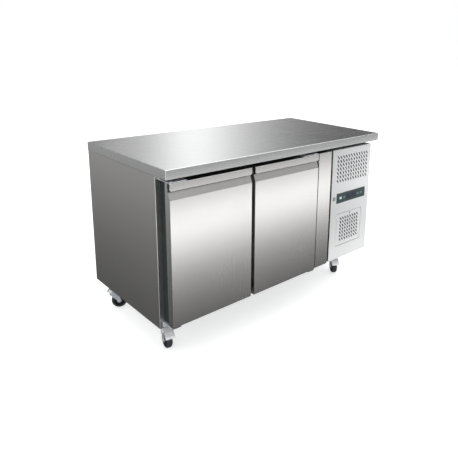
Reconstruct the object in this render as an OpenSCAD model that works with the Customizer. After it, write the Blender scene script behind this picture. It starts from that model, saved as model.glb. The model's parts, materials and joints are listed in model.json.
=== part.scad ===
// Two-door refrigerated counter with a machine bay at its right end.
// Origin at the middle of the footprint on the floor, front towards -Y, +Z up.

/* [Overall] */
// Width of the worktop
top_w = 1360; // [1340:5:1400]
// Depth of the worktop
top_d = 700; // [690:5:720]
// Height of the working face above the floor
top_h = 850; // [845:1:860]
// Height of the cabinet's underside above the floor
clear_h = 145; // [143:1:148]

/* [Worktop] */
// Height of the folded edge
edge_h = 40; // [36:1:44]
// Thickness of the worktop sheet
top_t = 1.5; // [1.2:0.1:2]
// Overhang past the machine bay's side
overhang_r = 60; // [40:5:70]

/* [Cabinet] */
// Set-back of the cabinet front behind the worktop's edge
setback = 81; // [80:1:84]
// Thickness of the outer sheet metal
sheet = 1.2; // [1:0.1:1.5]
// Thickness of the insulated walls
wall = 50; // [46:1:52]
// How far the door frame stands out of the cabinet front
frame_d = 31; // [30:0.5:31]

/* [Doors] */
// Width of a door
door_w = 415; // [410:1:416]
// Height of a door's lower edge above the floor
door_z = 176; // [174:1:178]
// Gap between the doors' top and the worktop
door_top_gap = 16.6; // [16:0.2:18]
// Depth of a door's metal pan
pan_d = 35; // [34:0.5:35]
// Height of the handle's hanging lip
lip_h = 31; // [28:1:33]
// Height of the slanted finger recess under the door's top
recess_h = 67; // [64:1:70]
// Depth of the finger recess
recess_d = 18; // [16:1:18]

/* [Castors] */
// Radius of a castor wheel
wheel_r = 38; // [36:0.5:38]
// Width of a castor wheel
wheel_w = 26; // [24:1:28]
// Distance from the swivel axis to the axle
trail = 35; // [33:1:36]

/* [Pins and clearances] */
// Radius of a door hinge pin
hinge_r = 4; // [3.5:0.1:4.5]
// Radial clearance of a turning pin
run = 0.05; // [0.03:0.01:0.08]

/* [Hidden] */
$fn = 48;

// Main planes of the cabinet
x_left = -top_w / 2;
x_right = top_w / 2 - overhang_r;
y_front = -top_d / 2;
y_cab = y_front + setback;
y_back = top_d / 2 - 5;
z_top = top_h - edge_h;
y_frame = y_cab - frame_d;

// Doors, strip and service panel along the front
door_gap = 20;
door_x = [x_left + 16.5, x_left + 16.5 + door_w + door_gap];
door_top = z_top - door_top_gap;
strip_x = door_x[1] + door_w + 5;
strip_w = 93.5;
bay_x = strip_x + strip_w + 5;
panel_x = strip_x + strip_w + 16;
panel_y = y_front + 2;
panel_d = 74;
panel_z = 180.6;
panel_top = z_top - 13.6;

// Cold space inside the liner
liner_t = 0.8;
in_x = [x_left + wall, bay_x - wall];
in_y = y_back - wall;
in_z = [200, z_top - 45];
// Door openings in the frame: left, right of each, and their height
open_x = [[x_left + 55, door_x[0] + door_w - 36.5], [door_x[1] + 36.5, door_x[1] + door_w - 36.5]];
open_z = [213, 756];
frame_z = [175, 795];

// Castors: swivel axis and the direction in which each wheel trails
castor_at = [[-603, -170], [543, -170], [-636, 275], [560, 275]];
castor_turn = [-101, -121, -25, -40];
crown_z = 88;
fork_gap = wheel_w / 2 + 1.5;
axle_r = 4;
stem_r = 6;

// Door hinge pins and the hinge of the service panel
pin_in = 12;
pin_y = y_front + pin_in;
panel_pin = [x_right - 8, y_cab - 11];
panel_pin_r = 3;

// Flap in the service panel
flap_x = [x_left + 1036, x_left + 1241];
flap_z = [256.4, 438.4];
flap_gap = 2;
flap_d = 12;
flap_pin = [panel_y + 4, flap_z[0] + 4];
latch_at = [x_left + 1141, flap_z[1] - 9];
lock_at = [x_left + 1003, 532];

// Controller window
ctrl_x = [x_left + 1024, x_left + 1264];
ctrl_z = [502, 556];
key_x = [ctrl_x[0] + 32, ctrl_x[0] + 62, ctrl_x[1] - 62, ctrl_x[1] - 32];
key_size = [18, 13];

// Fans and their shafts
evap_fan_at = [in_x[1] - 78, 20, 480];
cond_fan_at = [450, -150, 310];
shaft_r = 3;

// Condenser, compressor and the tubes of both coils
tube_r = 4.75;
cond_x = [330, 570];
cond_y = [-250, -206];
cond_z = [190, 430];
fin_pitch = 8.2;
comp_at = [430, 60];
comp_z = 165;
pipe_r = 4;
pipe_bend = 20;

// Cable gland in the base behind the compressor
gland_at = [505, 310];
gland_r = 8;

// A box given by its lowest and its highest corner
module span(lo, hi) translate(lo) cube(hi - lo);

// A straight round bar from a point along an axis: 0 is X, 1 is Y, 2 is Z
module bar(at, len, r, axis = 2)
    translate(at) rotate(axis == 0 ? [0, 90, 0] : axis == 1 ? [-90, 0, 0] : [0, 0, 0])
        cylinder(h = len, r = r);

// A profile in Y and Z pulled along X from x0 to x1
module along_x(x0, x1)
    translate([x0, 0, 0]) rotate([90, 0, 90]) linear_extrude(x1 - x0) children();

// A sheet standing in X and Z, with its front face at y
module standing(y, t)
    translate([0, y + t, 0]) rotate([90, 0, 0]) linear_extrude(t) children();

// Slots slanted on a grid, in X and Z
module slots(x0, z0, cols, rows, pitch_x, pitch_z, len = 20, w = 5)
    for (i = [0 : cols - 1], j = [0 : rows - 1])
        translate([x0 + (i + 0.5) * pitch_x, z0 + (j + 0.5) * pitch_z])
            rotate(-52) square([len, w], center = true);

// ---- Worktop ----
module worktop_shell() color("silver") difference() {
    span([x_left, y_front, z_top], [top_w / 2, top_d / 2, top_h]);
    span([x_left + top_t, y_front + top_t, z_top + top_t],
        [top_w / 2 - top_t, top_d / 2 - top_t, top_h - top_t]);
    span([x_left + 18, y_front + 18, z_top - 1],
        [top_w / 2 - 18, top_d / 2 - 18, z_top + top_t + 1]);
}

module worktop_core() color("burlywood")
    span([x_left + top_t, y_front + top_t, z_top + top_t],
        [top_w / 2 - top_t, top_d / 2 - top_t, top_h - top_t]);

// ---- Outer panels ----
// Side sheet with folded returns towards the middle: dir is 1 on the left, -1 on the right
module side_panel(x, dir, y0) {
    fold = 25;
    x_in = x + dir * sheet;
    span([min(x, x_in), y0, clear_h], [max(x, x_in), y_back, z_top]);
    for (y = [y0, y_back - sheet])
        span([min(x, x + dir * fold), y, clear_h], [max(x, x + dir * fold), y + sheet, z_top]);
}

module side_panel_left() color("gray") side_panel(x_left, 1, y_cab);

// The right side also carries the service panel's two hinge pins
module side_panel_right() color("gray") {
    side_panel(x_right, -1, y_cab);
    for (z = [panel_top + 1.6, panel_z - 4.1]) {
        span([x_right - 22, panel_pin[1] - 8, z], [x_right, y_cab, z + 2.5]);
        bar([panel_pin[0], panel_pin[1], z > 500 ? z - 9 : z + 2.5], 9, panel_pin_r);
    }
}

module back_panel() color("darkgray")
    span([x_left + 25, y_back - sheet, clear_h], [bay_x, y_back, z_top]);

module base_panel() color("darkgray") difference() {
    span([x_left + sheet, y_cab + sheet, clear_h], [x_right - sheet, y_back - sheet, clear_h + sheet]);
    for (c = castor_at) bar([c[0], c[1], clear_h - 1], 4, stem_r + 0.2);
    bar([gland_at[0], gland_at[1], clear_h - 1], 4, gland_r + 0.1);
    for (x = [bay_x + 40 : 28 : x_right - 60])
        span([x, -120, clear_h - 1], [x + 10, 120, clear_h + 4]);
}

module partition_panel() color("darkgray")
    span([bay_x, y_cab, clear_h + sheet], [bay_x + sheet, y_back - sheet, z_top]);

module rear_grille() color("darkgray") difference() {
    span([bay_x + 1, y_back - sheet, clear_h + sheet], [x_right - 25.5, y_back, z_top]);
    for (x = [bay_x + 28, bay_x + 162], z = [230 : 34 : 672])
        span([x, y_back - 5, z], [x + 118, y_back + 5, z + 10]);
}

// ---- Insulated box ----
module cabinet_insulation() color("khaki") {
    y0 = y_cab + sheet;
    y1 = y_back - sheet;
    z0 = clear_h + sheet;
    lx = in_x[0] - liner_t;
    rx = in_x[1] + liner_t;
    ly = in_y + liner_t;
    joint = 0.5;
    span([x_left + sheet, y0, z0], [lx, y1, z_top]);
    span([rx, y0, z0], [bay_x, y1, z_top]);
    span([lx + joint, ly, z0], [rx - joint, y1, z_top]);
    span([lx + joint, y0, z0], [rx - joint, ly - joint, in_z[0] - liner_t]);
    span([lx + joint, y0, in_z[1] + liner_t], [rx - joint, ly - joint, z_top]);
}

module inner_liner() color("lightgray") difference() {
    span([in_x[0] - liner_t, y_cab + sheet, in_z[0] - liner_t],
        [in_x[1] + liner_t, in_y + liner_t, in_z[1] + liner_t]);
    span([in_x[0], y_cab, in_z[0]], [in_x[1], in_y, in_z[1]]);
}

// Dark plastic frame on which the door gaskets close: four bars with fine joints
module door_frame() color([0.12, 0.15, 0.16]) {
    x0 = x_left + 25.5;
    x1 = strip_x - 0.5;
    joint = 0.3;
    span([x0, y_frame, frame_z[0]], [x1, y_cab, open_z[0]]);
    span([x0, y_frame, open_z[1]], [x1, y_cab, frame_z[1]]);
    for (s = [[x0, open_x[0][0]], [open_x[1][1], x1]])
        span([s[0], y_frame, open_z[0] + joint], [s[1], y_cab, open_z[1] - joint]);
}

module centre_post() color("dimgray")
    span([open_x[0][1], y_frame, open_z[0] + 0.3], [open_x[1][0], y_cab, open_z[1] - 0.3]);

module front_strip() color("silver") difference() {
    span([strip_x, y_front, 181.4], [strip_x + strip_w, y_cab, 796.4]);
    span([strip_x + sheet, y_front + sheet, 182.6], [strip_x + strip_w - sheet, y_cab + 1, 795.2]);
}

// ---- Cooling inside the box ----
module evaporator_coil() color("lightsteelblue") {
    x = [in_x[1] - 48, in_x[1] - 8];
    for (i = [0 : 30]) span([x[0], -150 + i * 11, 300], [x[1], -148.6 + i * 11, 680]);
    for (i = [0 : 1], j = [0 : 7])
        bar([x[0] + 10 + i * 20, -158, 322 + j * 48], 346, tube_r, 1);
}

module evaporator_cover() color("lightgray") difference() {
    span([in_x[1] - 70, -240, in_z[0] + 30], [in_x[1] - 68.8, in_y - 5, in_z[1] - 20]);
    bar([in_x[1] - 75, evap_fan_at[1], evap_fan_at[2]], 20, 72, 0);
}

// Flat motor held by a cross of two bars behind the cover's opening
module evaporator_motor() {
    c = evap_fan_at;
    x = [in_x[1] - 68.6, in_x[1] - 66];
    reach = 82;
    bar([c[0] + 16, c[1], c[2]], 12, 26, 0);
    bar([c[0] - 6, c[1], c[2]], 24, shaft_r, 0);
    span([x[0], c[1] - reach, c[2] - 5], [x[1], c[1] + reach, c[2] + 5]);
    span([x[0], c[1] - 5, c[2] - reach], [x[1], c[1] + 5, c[2] + reach]);
}

// Fan wheel around +Z at the origin: hub with a shaft bore and flat pitched blades
module fan_wheel(r, hub_r, h, blades) difference() {
    union() {
        cylinder(h = h, r = hub_r, center = true);
        for (i = [0 : blades - 1]) rotate(i * 360 / blades)
            translate([hub_r - 2, 0, 0]) rotate([28, 0, 0])
                translate([0, -r * 0.2, -0.8]) cube([r - hub_r, r * 0.4, 1.6]);
    }
    cylinder(h = h + 2, r = shaft_r + run, center = true);
}

module evaporator_fan() color("black")
    translate(evap_fan_at) rotate([0, 90, 0]) fan_wheel(66, 18, 12, 5);

// ---- Shelving ----
shelf_z = 470;
shelf_y = [-236, 290];
shelf_w = 326;
shelf_x = [for (x = [in_x[0] + 13, open_x[1][0] + 7]) [x, x + shelf_w]];

// Four posts and two rails for each shelf
module shelf_supports() color("lightgray") {
    post = [9, 10];
    gap = 2;
    for (s = shelf_x, x = [s[0] - gap - post[0], s[1] + gap], y = [shelf_y[0] + 20, shelf_y[1] - 40])
        span([x, y, in_z[0]], [x + post[0], y + post[1], in_z[1]]);
    for (s = shelf_x, x = [s[0] - gap + 0.3, s[1] - 12])
        span([x, shelf_y[0] + 10, shelf_z - 6.4], [x + 13.7, shelf_y[1] - 10, shelf_z - 4]);
}

module wire_shelf(s) {
    inset = 4;
    x0 = s[0] + inset;
    x1 = s[1] - inset;
    rim_r = 3.5;
    wire_r = 1.8;
    bays = 16;
    for (x = [x0, x1]) bar([x, shelf_y[0], shelf_z], shelf_y[1] - shelf_y[0], rim_r, 1);
    for (y = [shelf_y[0] + 4, 27, shelf_y[1] - 4]) bar([x0, y, shelf_z], x1 - x0, rim_r, 0);
    for (i = [1 : bays - 1])
        bar([x0 + i * (x1 - x0) / bays, shelf_y[0] + 2, shelf_z + 3],
            shelf_y[1] - shelf_y[0] - 4, wire_r, 1);
}

module shelf_left() color("white") wire_shelf(shelf_x[0]);
module shelf_right() color("white") wire_shelf(shelf_x[1]);

// ---- Hinges of the doors ----
// Each bracket is a plate from the cabinet front to the pin, with a foot on the cabinet
module bracket(x, x0, x1, z, up) {
    t = 2.6;
    span([x0, y_front + 0.5, z], [x1, y_cab - 0.2, z + t]);
    foot = up ? [z + t, z_top - 1] : [clear_h + 4, z];
    span([x0, y_cab - 2.8, foot[0]], [x1, y_cab - 0.2, foot[1]]);
    bar([x, pin_y, up ? z - 22 : z + t], 22, hinge_r);
}

module hinge_brackets() color("gainsboro") {
    l = door_x[0] + pin_in;
    r = door_x[1] + door_w - pin_in;
    bracket(l, door_x[0] - 1, door_x[0] + 80, door_top + 2.2, true);
    bracket(r, r - 90, door_x[1] + door_w - 1, door_top + 2.2, true);
    bracket(l, door_x[0] - 1, door_x[0] + 40, door_z - 5.6, false);
    bracket(r, r - 30, door_x[1] + door_w - 1, door_z - 5.6, false);
}

// ---- Condensing unit ----
module condenser_coil() color("slategray") {
    for (x = [cond_x[0] : fin_pitch : cond_x[1]])
        span([x, cond_y[0], cond_z[0]], [x + 1, cond_y[1], cond_z[1]]);
    for (i = [0 : 1], j = [0 : 5])
        bar([cond_x[0] - 10, cond_y[0] + 11 + i * 22, cond_z[0] + 22 + j * 38], 258, tube_r, 0);
    for (x = [cond_x[0] - 6, cond_x[1] + 4])
        span([x, cond_y[0], clear_h + sheet], [x + 1.5, cond_y[1], cond_z[1] + 4]);
}

module condenser_shroud() color("dimgray") difference() {
    y0 = cond_y[1] + 0.5;
    span([cond_x[0] - 6, y0, cond_z[0] - 4], [cond_x[1] + 6, y0 + 40.5, cond_z[1] + 4]);
    span([cond_x[0] - 4, y0 - 1, cond_z[0] - 2], [cond_x[1] + 4, y0 + 38.5, cond_z[1] + 2]);
    bar([cond_fan_at[0], y0 + 35, cond_fan_at[2]], 10, 104, 1);
}

// Motor behind the condenser's fan, on a post that stands on the base
module condenser_motor() {
    c = cond_fan_at;
    bar([c[0], c[1] + 14, c[2]], 46, 34, 1);
    bar([c[0], c[1] - 8, c[2]], 30, shaft_r, 1);
    span([c[0] - 8, c[1] + 22, clear_h + sheet + 0.2], [c[0] + 8, c[1] + 50, c[2] - 30]);
}

module fan_motors() color("dimgray") {
    evaporator_motor();
    condenser_motor();
}

module condenser_fan() color("black")
    translate(cond_fan_at) rotate([-90, 0, 0]) fan_wheel(98, 22, 16, 5);

// Welded can on a footed plate, with its terminal box and four rubber feet
module compressor() color([0.13, 0.13, 0.13]) {
    c = comp_at;
    foot = [75, 55];
    translate([c[0], c[1], comp_z]) rotate_extrude()
        polygon([[0, 8], [70, 8], [78, 18], [80, 30], [80, 115], [78, 122], [76, 135], [60, 156],
            [34, 166], [0, 169]]);
    span([c[0] - 92, c[1] - 72, comp_z + 3], [c[0] + 92, c[1] + 72, comp_z + 7]);
    for (sx = [-1, 1], sy = [-1, 1])
        bar([c[0] + sx * foot[0], c[1] + sy * foot[1], clear_h + sheet], 28, 12);
    span([c[0] + 74, c[1] - 24, comp_z + 50], [c[0] + 112, c[1] + 24, comp_z + 110]);
}

// Quarter bend of pipe in the plane of local X and Y
module bend(r, pipe) rotate_extrude(angle = 90) translate([r, 0]) circle(r = pipe);

// Discharge and suction lines with the filter drier in the liquid line
module refrigerant_pipes() color("peru") {
    r = pipe_r;
    k = pipe_bend;
    c = comp_at;
    top = [392, 572];
    bar([c[0], c[1], comp_z + 169.1], top[0] - comp_z - 169.1, r);
    translate([c[0], c[1] + k, top[0]]) rotate([0, -90, 0]) rotate([0, 0, -90]) bend(k, r);
    bar([c[0], c[1] + k, top[0] + k], 120, r, 1);
    bar([c[0] - 50, c[1] - 20, comp_z + 161], top[1] - comp_z - 161, r);
    translate([c[0] - 50 - k, c[1] - 20, top[1]]) rotate([90, 0, 0]) bend(k, r);
    bar([bay_x + sheet, c[1] - 20, top[1] + k], c[0] - 50 - k - bay_x - sheet, r, 0);
    bar([c[0] + 70, c[1] + 130, 300], 110, 13);
    bar([c[0] + 70, c[1] + 130, 270], 170, r);
}

module condensate_tray() color("gray") difference() {
    z = clear_h + sheet;
    span([bay_x + 12, 185, z], [comp_at[0] + 40, 330, z + 30]);
    span([bay_x + 14, 187, z + 2], [comp_at[0] + 38, 328, z + 34]);
}

// Gland for the supply cord: dome nut and flange below the base, lock nut above it
module cable_gland() color([0.1, 0.1, 0.1]) translate([gland_at[0], gland_at[1], clear_h]) difference() {
    union() {
        translate([0, 0, -3]) cylinder(h = 3, r = 12);
        translate([0, 0, -15]) cylinder(h = 12, r1 = 7, r2 = 10.5);
        translate([0, 0, -1]) cylinder(h = 13, r = gland_r);
        translate([0, 0, sheet]) cylinder(h = 5, r = 12, $fn = 6);
    }
    translate([0, 0, -20]) cylinder(h = 40, r = 4.5);
}

// ---- Castors ----
// Stems with their nuts and the plates that hold them under the base
module castor_stems() color("silver") for (c = castor_at) translate([c[0], c[1], 0]) {
    bar([0, 0, crown_z + 3.4], clear_h + sheet - crown_z - 3.4, stem_r);
    span([-36, -36, clear_h - 3], [36, 36, clear_h]);
    translate([0, 0, clear_h - 12]) cylinder(h = 9.5, r = 11, $fn = 6);
}

module at_castor(i) translate([castor_at[i][0], castor_at[i][1], 0]) rotate(castor_turn[i]) children();

// Fork with its swivel head around Z and two legs trailing to the axle
module fork() difference() {
    union() {
        translate([0, 0, crown_z]) cylinder(h = 3, r = 23);
        translate([0, 0, crown_z + 3]) cylinder(h = 10, r1 = 20, r2 = 17);
        for (s = [-1, 1]) translate([0, s * (fork_gap + 1.25) + 1.25, 0]) rotate([90, 0, 0])
            linear_extrude(2.5) union() {
                polygon([[-14, crown_z + 1], [-14, crown_z - 10], [trail - 11, wheel_r - 4],
                    [trail + 11, wheel_r], [26, crown_z - 8], [22, crown_z + 1]]);
                translate([trail, wheel_r]) circle(r = 11);
            }
        bar([trail, -fork_gap - 6, wheel_r], 2 * fork_gap + 12, axle_r, 1);
        for (s = [-1, 1]) translate([trail, s * (fork_gap + 4.5) - 2, wheel_r]) rotate([-90, 0, 0])
            cylinder(h = 4, r = 7, $fn = 6);
    }
    translate([0, 0, crown_z - 2]) cylinder(h = 20, r = stem_r + run);
}

module wheel() translate([trail, 0, wheel_r]) rotate([90, 0, 0]) difference() {
    w = wheel_w / 2;
    half = [[0, 14], [9, 14], [10, 9], [wheel_r - 12, 9], [wheel_r - 10, w], [wheel_r - 3, w],
        [wheel_r - 0.6, w - 3], [wheel_r, w - 7]];
    rotate_extrude($fn = 64)
        polygon(concat(half, [for (i = [len(half) - 1 : -1 : 0]) [half[i][0], -half[i][1]]]));
    cylinder(h = wheel_w + 10, r = axle_r + run, center = true);
}

// Brake pedal hung on the fork's head, with a cheek on each side of the fork
pedal_pin = [18, crown_z - 3];
module pedal() {
    w = 44;
    translate([0, w / 2, 0]) rotate([90, 0, 0]) linear_extrude(w)
        polygon([[26, crown_z + 2], [28, crown_z + 4], [62, crown_z - 4], [78, crown_z - 20],
            [80, crown_z - 33], [78, crown_z - 33], [76, crown_z - 21], [61, crown_z - 6]]);
    for (s = [-1, 1]) translate([0, s * (w / 2 - 1) + 1, 0]) rotate([90, 0, 0])
        linear_extrude(2) difference() {
            polygon([[12, crown_z - 8], [12, crown_z + 1], [26, crown_z + 3],
                [61, crown_z - 5], [40, crown_z - 9]]);
            translate(pedal_pin) circle(r = 2 + run);
        }
}

// The two front forks also hold the pedal's pivot studs
module braked_fork() {
    fork();
    for (s = [-1, 1]) translate([pedal_pin[0], s * (fork_gap + 2.4) - (s < 0 ? 7.8 : 0), pedal_pin[1]])
        rotate([-90, 0, 0]) cylinder(h = 7.8, r = 2);
}

module castor_front_left_fork() color("silver") at_castor(0) braked_fork();
module castor_front_right_fork() color("silver") at_castor(1) braked_fork();
module castor_rear_left_fork() color("silver") at_castor(2) fork();
module castor_rear_right_fork() color("silver") at_castor(3) fork();
module castor_front_left_wheel() color("black") at_castor(0) wheel();
module castor_front_right_wheel() color("black") at_castor(1) wheel();
module castor_rear_left_wheel() color("black") at_castor(2) wheel();
module castor_rear_right_wheel() color("black") at_castor(3) wheel();
module castor_front_left_pedal() color("white") at_castor(0) pedal();
module castor_front_right_pedal() color("white") at_castor(1) pedal();

// ---- Doors ----
// side is 0 for the left door, hinged at its left, and 1 for the right door, hinged at its right
function pin_x(side) = side == 0 ? door_x[0] + pin_in : door_x[1] + door_w - pin_in;

// Outline of the finger recess in Y and Z, open to the front under the lip
module recess_outline() {
    y0 = y_front;
    polygon([[y0 - 1, door_top - recess_h - 2], [y0, door_top - recess_h], [y0 + recess_d, door_top - 27],
        [y0 + recess_d, door_top - 1.4], [y0 + 1.4, door_top - 1.4], [y0 + 1.4, door_top - lip_h],
        [y0 - 1, door_top - lip_h]]);
}

// The space inside the pan that the foam fills, in Y and Z
module foam_outline() {
    y0 = y_front + 1.2;
    y1 = y_front + pan_d - 1.2;
    polygon([[y0, door_z + 1.2], [y0, door_top - recess_h - 1.5], [y0 + recess_d, door_top - 28],
        [y0 + recess_d, door_top - 1.4], [y1, door_top - 1.4], [y1, door_z + 1.2]]);
}

// Nylon blocks at the hinge side's ends, which hold the pins
module bush_blocks(side, grow = 0) {
    w = 30;
    x0 = (side == 0 ? door_x[0] + 1.2 : door_x[1] + door_w - 1.2 - w) - grow;
    x1 = x0 + w + 2 * grow;
    span([x0, y_front + 1.8 - grow, door_z + 1.3 - grow],
        [x1, y_front + 24 + grow, door_z + 26 + grow]);
    span([x0, y_front + 2, door_top - 26], [x1, y_front + recess_d - 0.2, door_top - 1.6]);
}

module pin_holes(side, r) {
    bar([pin_x(side), pin_y, door_z - 2], 30, r);
    bar([pin_x(side), pin_y, door_top - 28], 30, r);
}

module door_skin(side) difference() {
    x = door_x[side];
    translate([0, 0, door_z]) linear_extrude(door_top - door_z) union() {
        translate([x, y_front + 3]) square([door_w, pan_d - 3]);
        translate([x + 3, y_front]) square([door_w - 6, 3]);
        for (cx = [x + 3, x + door_w - 3]) translate([cx, y_front + 3]) circle(r = 3);
    }
    along_x(x - 1, x + door_w + 1) recess_outline();
    along_x(x + 1.2, x + door_w - 1.2) foam_outline();
    span([x + 1.2, y_front + pan_d - 1.3, door_z + 1.2],
        [x + door_w - 1.2, y_front + pan_d + 1, door_top - 1.4]);
    pin_holes(side, hinge_r + 1);
    for (e = [[x - 1, x + 8, x + 8], [x + door_w - 8, x + door_w + 1, x + door_w - 8]])
        translate([0, y_front + 2, 0]) rotate([90, 0, 0]) linear_extrude(3) difference() {
            translate([e[0], door_top - lip_h - 1]) square([e[1] - e[0], 9]);
            translate([e[2], door_top - lip_h + 8]) circle(r = 8);
        }
}

module door_foam(side) difference() {
    along_x(door_x[side] + 1.2, door_x[side] + door_w - 1.2) foam_outline();
    bush_blocks(side, 0.1);
}

// Inner sheet with the shallow raised tray inside the gasket
module door_inner(side) difference() {
    x = door_x[side];
    y_back = y_front + pan_d;
    union() {
        span([x + 1.2, y_back - 1.2, door_z + 1.2], [x + door_w - 1.2, y_back, door_top - 1.4]);
        span([x + 34, y_back - 1, door_z + 34], [x + door_w - 34, y_back + 13, door_top - 34]);
    }
    span([x + 35.2, y_back - 2, door_z + 35.2], [x + door_w - 35.2, y_back + 11.8, door_top - 35.2]);
}

module door_gasket(side) difference() {
    x = door_x[side];
    y = [y_front + pan_d, y_frame - 0.3];
    span([x + 13.2, y[0], door_z + 13], [x + door_w - 13.2, y[1], door_top - 13]);
    span([x + 32, y[0] - 1, door_z + 32], [x + door_w - 32, y[1] + 1, door_top - 32]);
}

// Hinge bushes and, at the other end of the grip, a plain end cap
module door_fittings(side) {
    difference() {
        bush_blocks(side);
        pin_holes(side, hinge_r + run);
    }
    x0 = side == 0 ? door_x[0] + door_w - 13.2 : door_x[1] + 1.2;
    span([x0, y_front + 2, door_top - 26], [x0 + 12, y_front + recess_d - 0.2, door_top - 1.6]);
}

module door_left_skin() color("silver") door_skin(0);
module door_left_inner() color("lightgray") door_inner(0);
module door_left_insulation() color("khaki") door_foam(0);
module door_left_gasket() color("darkslategray") door_gasket(0);
module door_left_fittings() color("black") door_fittings(0);
module door_right_skin() color("silver") door_skin(1);
module door_right_inner() color("lightgray") door_inner(1);
module door_right_insulation() color("khaki") door_foam(1);
module door_right_gasket() color("darkslategray") door_gasket(1);
module door_right_fittings() color("black") door_fittings(1);

// ---- Service panel ----
module service_panel() color("whitesmoke") difference() {
    union() {
        difference() {
            span([panel_x, panel_y, panel_z], [x_right, panel_y + panel_d, panel_top]);
            span([panel_x + sheet, panel_y + sheet, panel_z + sheet],
                [x_right - sheet, panel_y + panel_d + 1, panel_top - sheet]);
        }
        span([flap_x[0] - flap_gap - sheet, panel_y, flap_z[0] - flap_gap - sheet],
            [flap_x[1] + flap_gap + sheet, panel_y + flap_d, flap_z[1] + flap_gap + sheet]);
    }
    span([flap_x[0] - flap_gap, panel_y - 1, flap_z[0] - flap_gap],
        [flap_x[1] + flap_gap, panel_y + flap_d + 1, flap_z[1] + flap_gap]);
    span([ctrl_x[0] + 3, panel_y - 1, ctrl_z[0] + 3], [ctrl_x[1] - 3, panel_y + 2, ctrl_z[1] - 3]);
    standing(panel_y - 1, 4) slots(x_left + 1014, 615, 12, 7, 21.8, 21.3);
    bar([flap_x[0] - 5, flap_pin[0], flap_pin[1]], flap_x[1] - flap_x[0] + 10, 1.5 + run, 0);
    bar([panel_pin[0], panel_pin[1], panel_z - 1], panel_top - panel_z + 2, panel_pin_r + run);
    bar([lock_at[0], panel_y - 1, lock_at[1]], 4, 8 + run, 1);
}

// Window housing with a raised rim, the display's recess and the four key holes
module controller() color([0.1, 0.16, 0.17]) difference() {
    union() {
        span([ctrl_x[0], panel_y - 2, ctrl_z[0]], [ctrl_x[1], panel_y, ctrl_z[1]]);
        span([ctrl_x[0] + 3.2, panel_y, ctrl_z[0] + 3.2], [ctrl_x[1] - 3.2, panel_y + 40, ctrl_z[1] - 3.2]);
    }
    span([ctrl_x[0] + 78, panel_y - 3, ctrl_z[0] + 12], [ctrl_x[1] - 78, panel_y - 1.2, ctrl_z[1] - 12]);
    for (x = key_x) span([x - key_size[0] / 2 - 0.3, panel_y - 3, 529 - key_size[1] / 2 - 0.3],
        [x + key_size[0] / 2 + 0.3, panel_y + 8, 529 + key_size[1] / 2 + 0.3]);
}

module key(i)
    span([key_x[i] - key_size[0] / 2, panel_y - 2, 529 - key_size[1] / 2],
        [key_x[i] + key_size[0] / 2, panel_y + 6, 529 + key_size[1] / 2]);

module key_1() color("lightblue") key(0);
module key_2() color("cadetblue") key(1);
module key_3() color("cadetblue") key(2);
module key_4() color("cadetblue") key(3);

module filter_flap() color("whitesmoke") difference() {
    union() {
        difference() {
            span([flap_x[0], panel_y, flap_z[0]], [flap_x[1], panel_y + flap_d, flap_z[1]]);
            span([flap_x[0] + sheet, panel_y + sheet, flap_z[0] + sheet],
                [flap_x[1] - sheet, panel_y + flap_d + 1, flap_z[1] - sheet]);
        }
        for (x = [flap_x[0] - flap_gap - 1, flap_x[1] - 2])
            bar([x, flap_pin[0], flap_pin[1]], flap_gap + 3, 1.5, 0);
    }
    standing(panel_y - 1, 4) slots(flap_x[0] + 21, 278.5, 8, 7, 20.4, 20, 18, 5);
    bar([latch_at[0], panel_y - 1, latch_at[1]], 4, 3 + run, 1);
}

// Filter pad in a light frame behind the flap's slots
module filter_mesh() color("dimgray")
    span([flap_x[0] + 12, panel_y + 3, flap_z[0] + 14], [flap_x[1] - 12, panel_y + 9, flap_z[1] - 22]);

// Slotted head on a round shank with a tongue behind, which lies flat when it is open
module turn_latch(at, head_r, shank_r, depth, tongue) difference() {
    union() {
        bar([at[0], panel_y - 2, at[1]], 1.9, head_r, 1);
        bar([at[0], panel_y - 0.2, at[1]], depth, shank_r, 1);
        span([at[0] - tongue[0], panel_y + depth - 2.2, at[1] - tongue[2]],
            [at[0] + tongue[1], panel_y + depth - 0.2, at[1] + tongue[3]]);
    }
    span([at[0] - 0.6, panel_y - 3, at[1] - head_r + 1], [at[0] + 0.6, panel_y - 1, at[1] + head_r - 1]);
}

module flap_latch() color("darkgray") turn_latch(latch_at, 5, 3, flap_d + 3, [18, 5, 4, 4]);
module panel_lock() color("darkgray") turn_latch(lock_at, 9.5, 8, 22, [5, 5, 12, 5]);

// Angle on the partition that the lock's tongue catches
module lock_striker() color("silver") {
    x0 = bay_x + 17.5;
    span([bay_x + sheet, y_cab + 1, lock_at[1] - 15], [x0 + 1.5, y_cab + 2.5, lock_at[1] + 15]);
    span([x0, panel_y + 16, lock_at[1] - 15], [x0 + 1.5, y_cab + 2.5, lock_at[1] + 15]);
    span([x0, panel_y + 16, lock_at[1] - 15], [x0 + 7, panel_y + 17.5, lock_at[1] + 15]);
}

worktop_shell();
worktop_core();
side_panel_left();
side_panel_right();
back_panel();
base_panel();
partition_panel();
cabinet_insulation();
inner_liner();
door_frame();
centre_post();
front_strip();
evaporator_coil();
evaporator_cover();
fan_motors();
evaporator_fan();
shelf_supports();
shelf_left();
shelf_right();
hinge_brackets();
rear_grille();
condenser_coil();
condenser_shroud();
condenser_fan();
compressor();
refrigerant_pipes();
condensate_tray();
castor_stems();
lock_striker();
cable_gland();
door_left_skin();
door_left_inner();
door_left_insulation();
door_left_gasket();
door_left_fittings();
door_right_skin();
door_right_inner();
door_right_insulation();
door_right_gasket();
door_right_fittings();
service_panel();
controller();
key_1();
key_2();
key_3();
key_4();
filter_flap();
filter_mesh();
flap_latch();
panel_lock();
castor_front_left_fork();
castor_front_right_fork();
castor_rear_left_fork();
castor_rear_right_fork();
castor_front_left_wheel();
castor_front_right_wheel();
castor_rear_left_wheel();
castor_rear_right_wheel();
castor_front_left_pedal();
castor_front_right_pedal();
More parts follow.
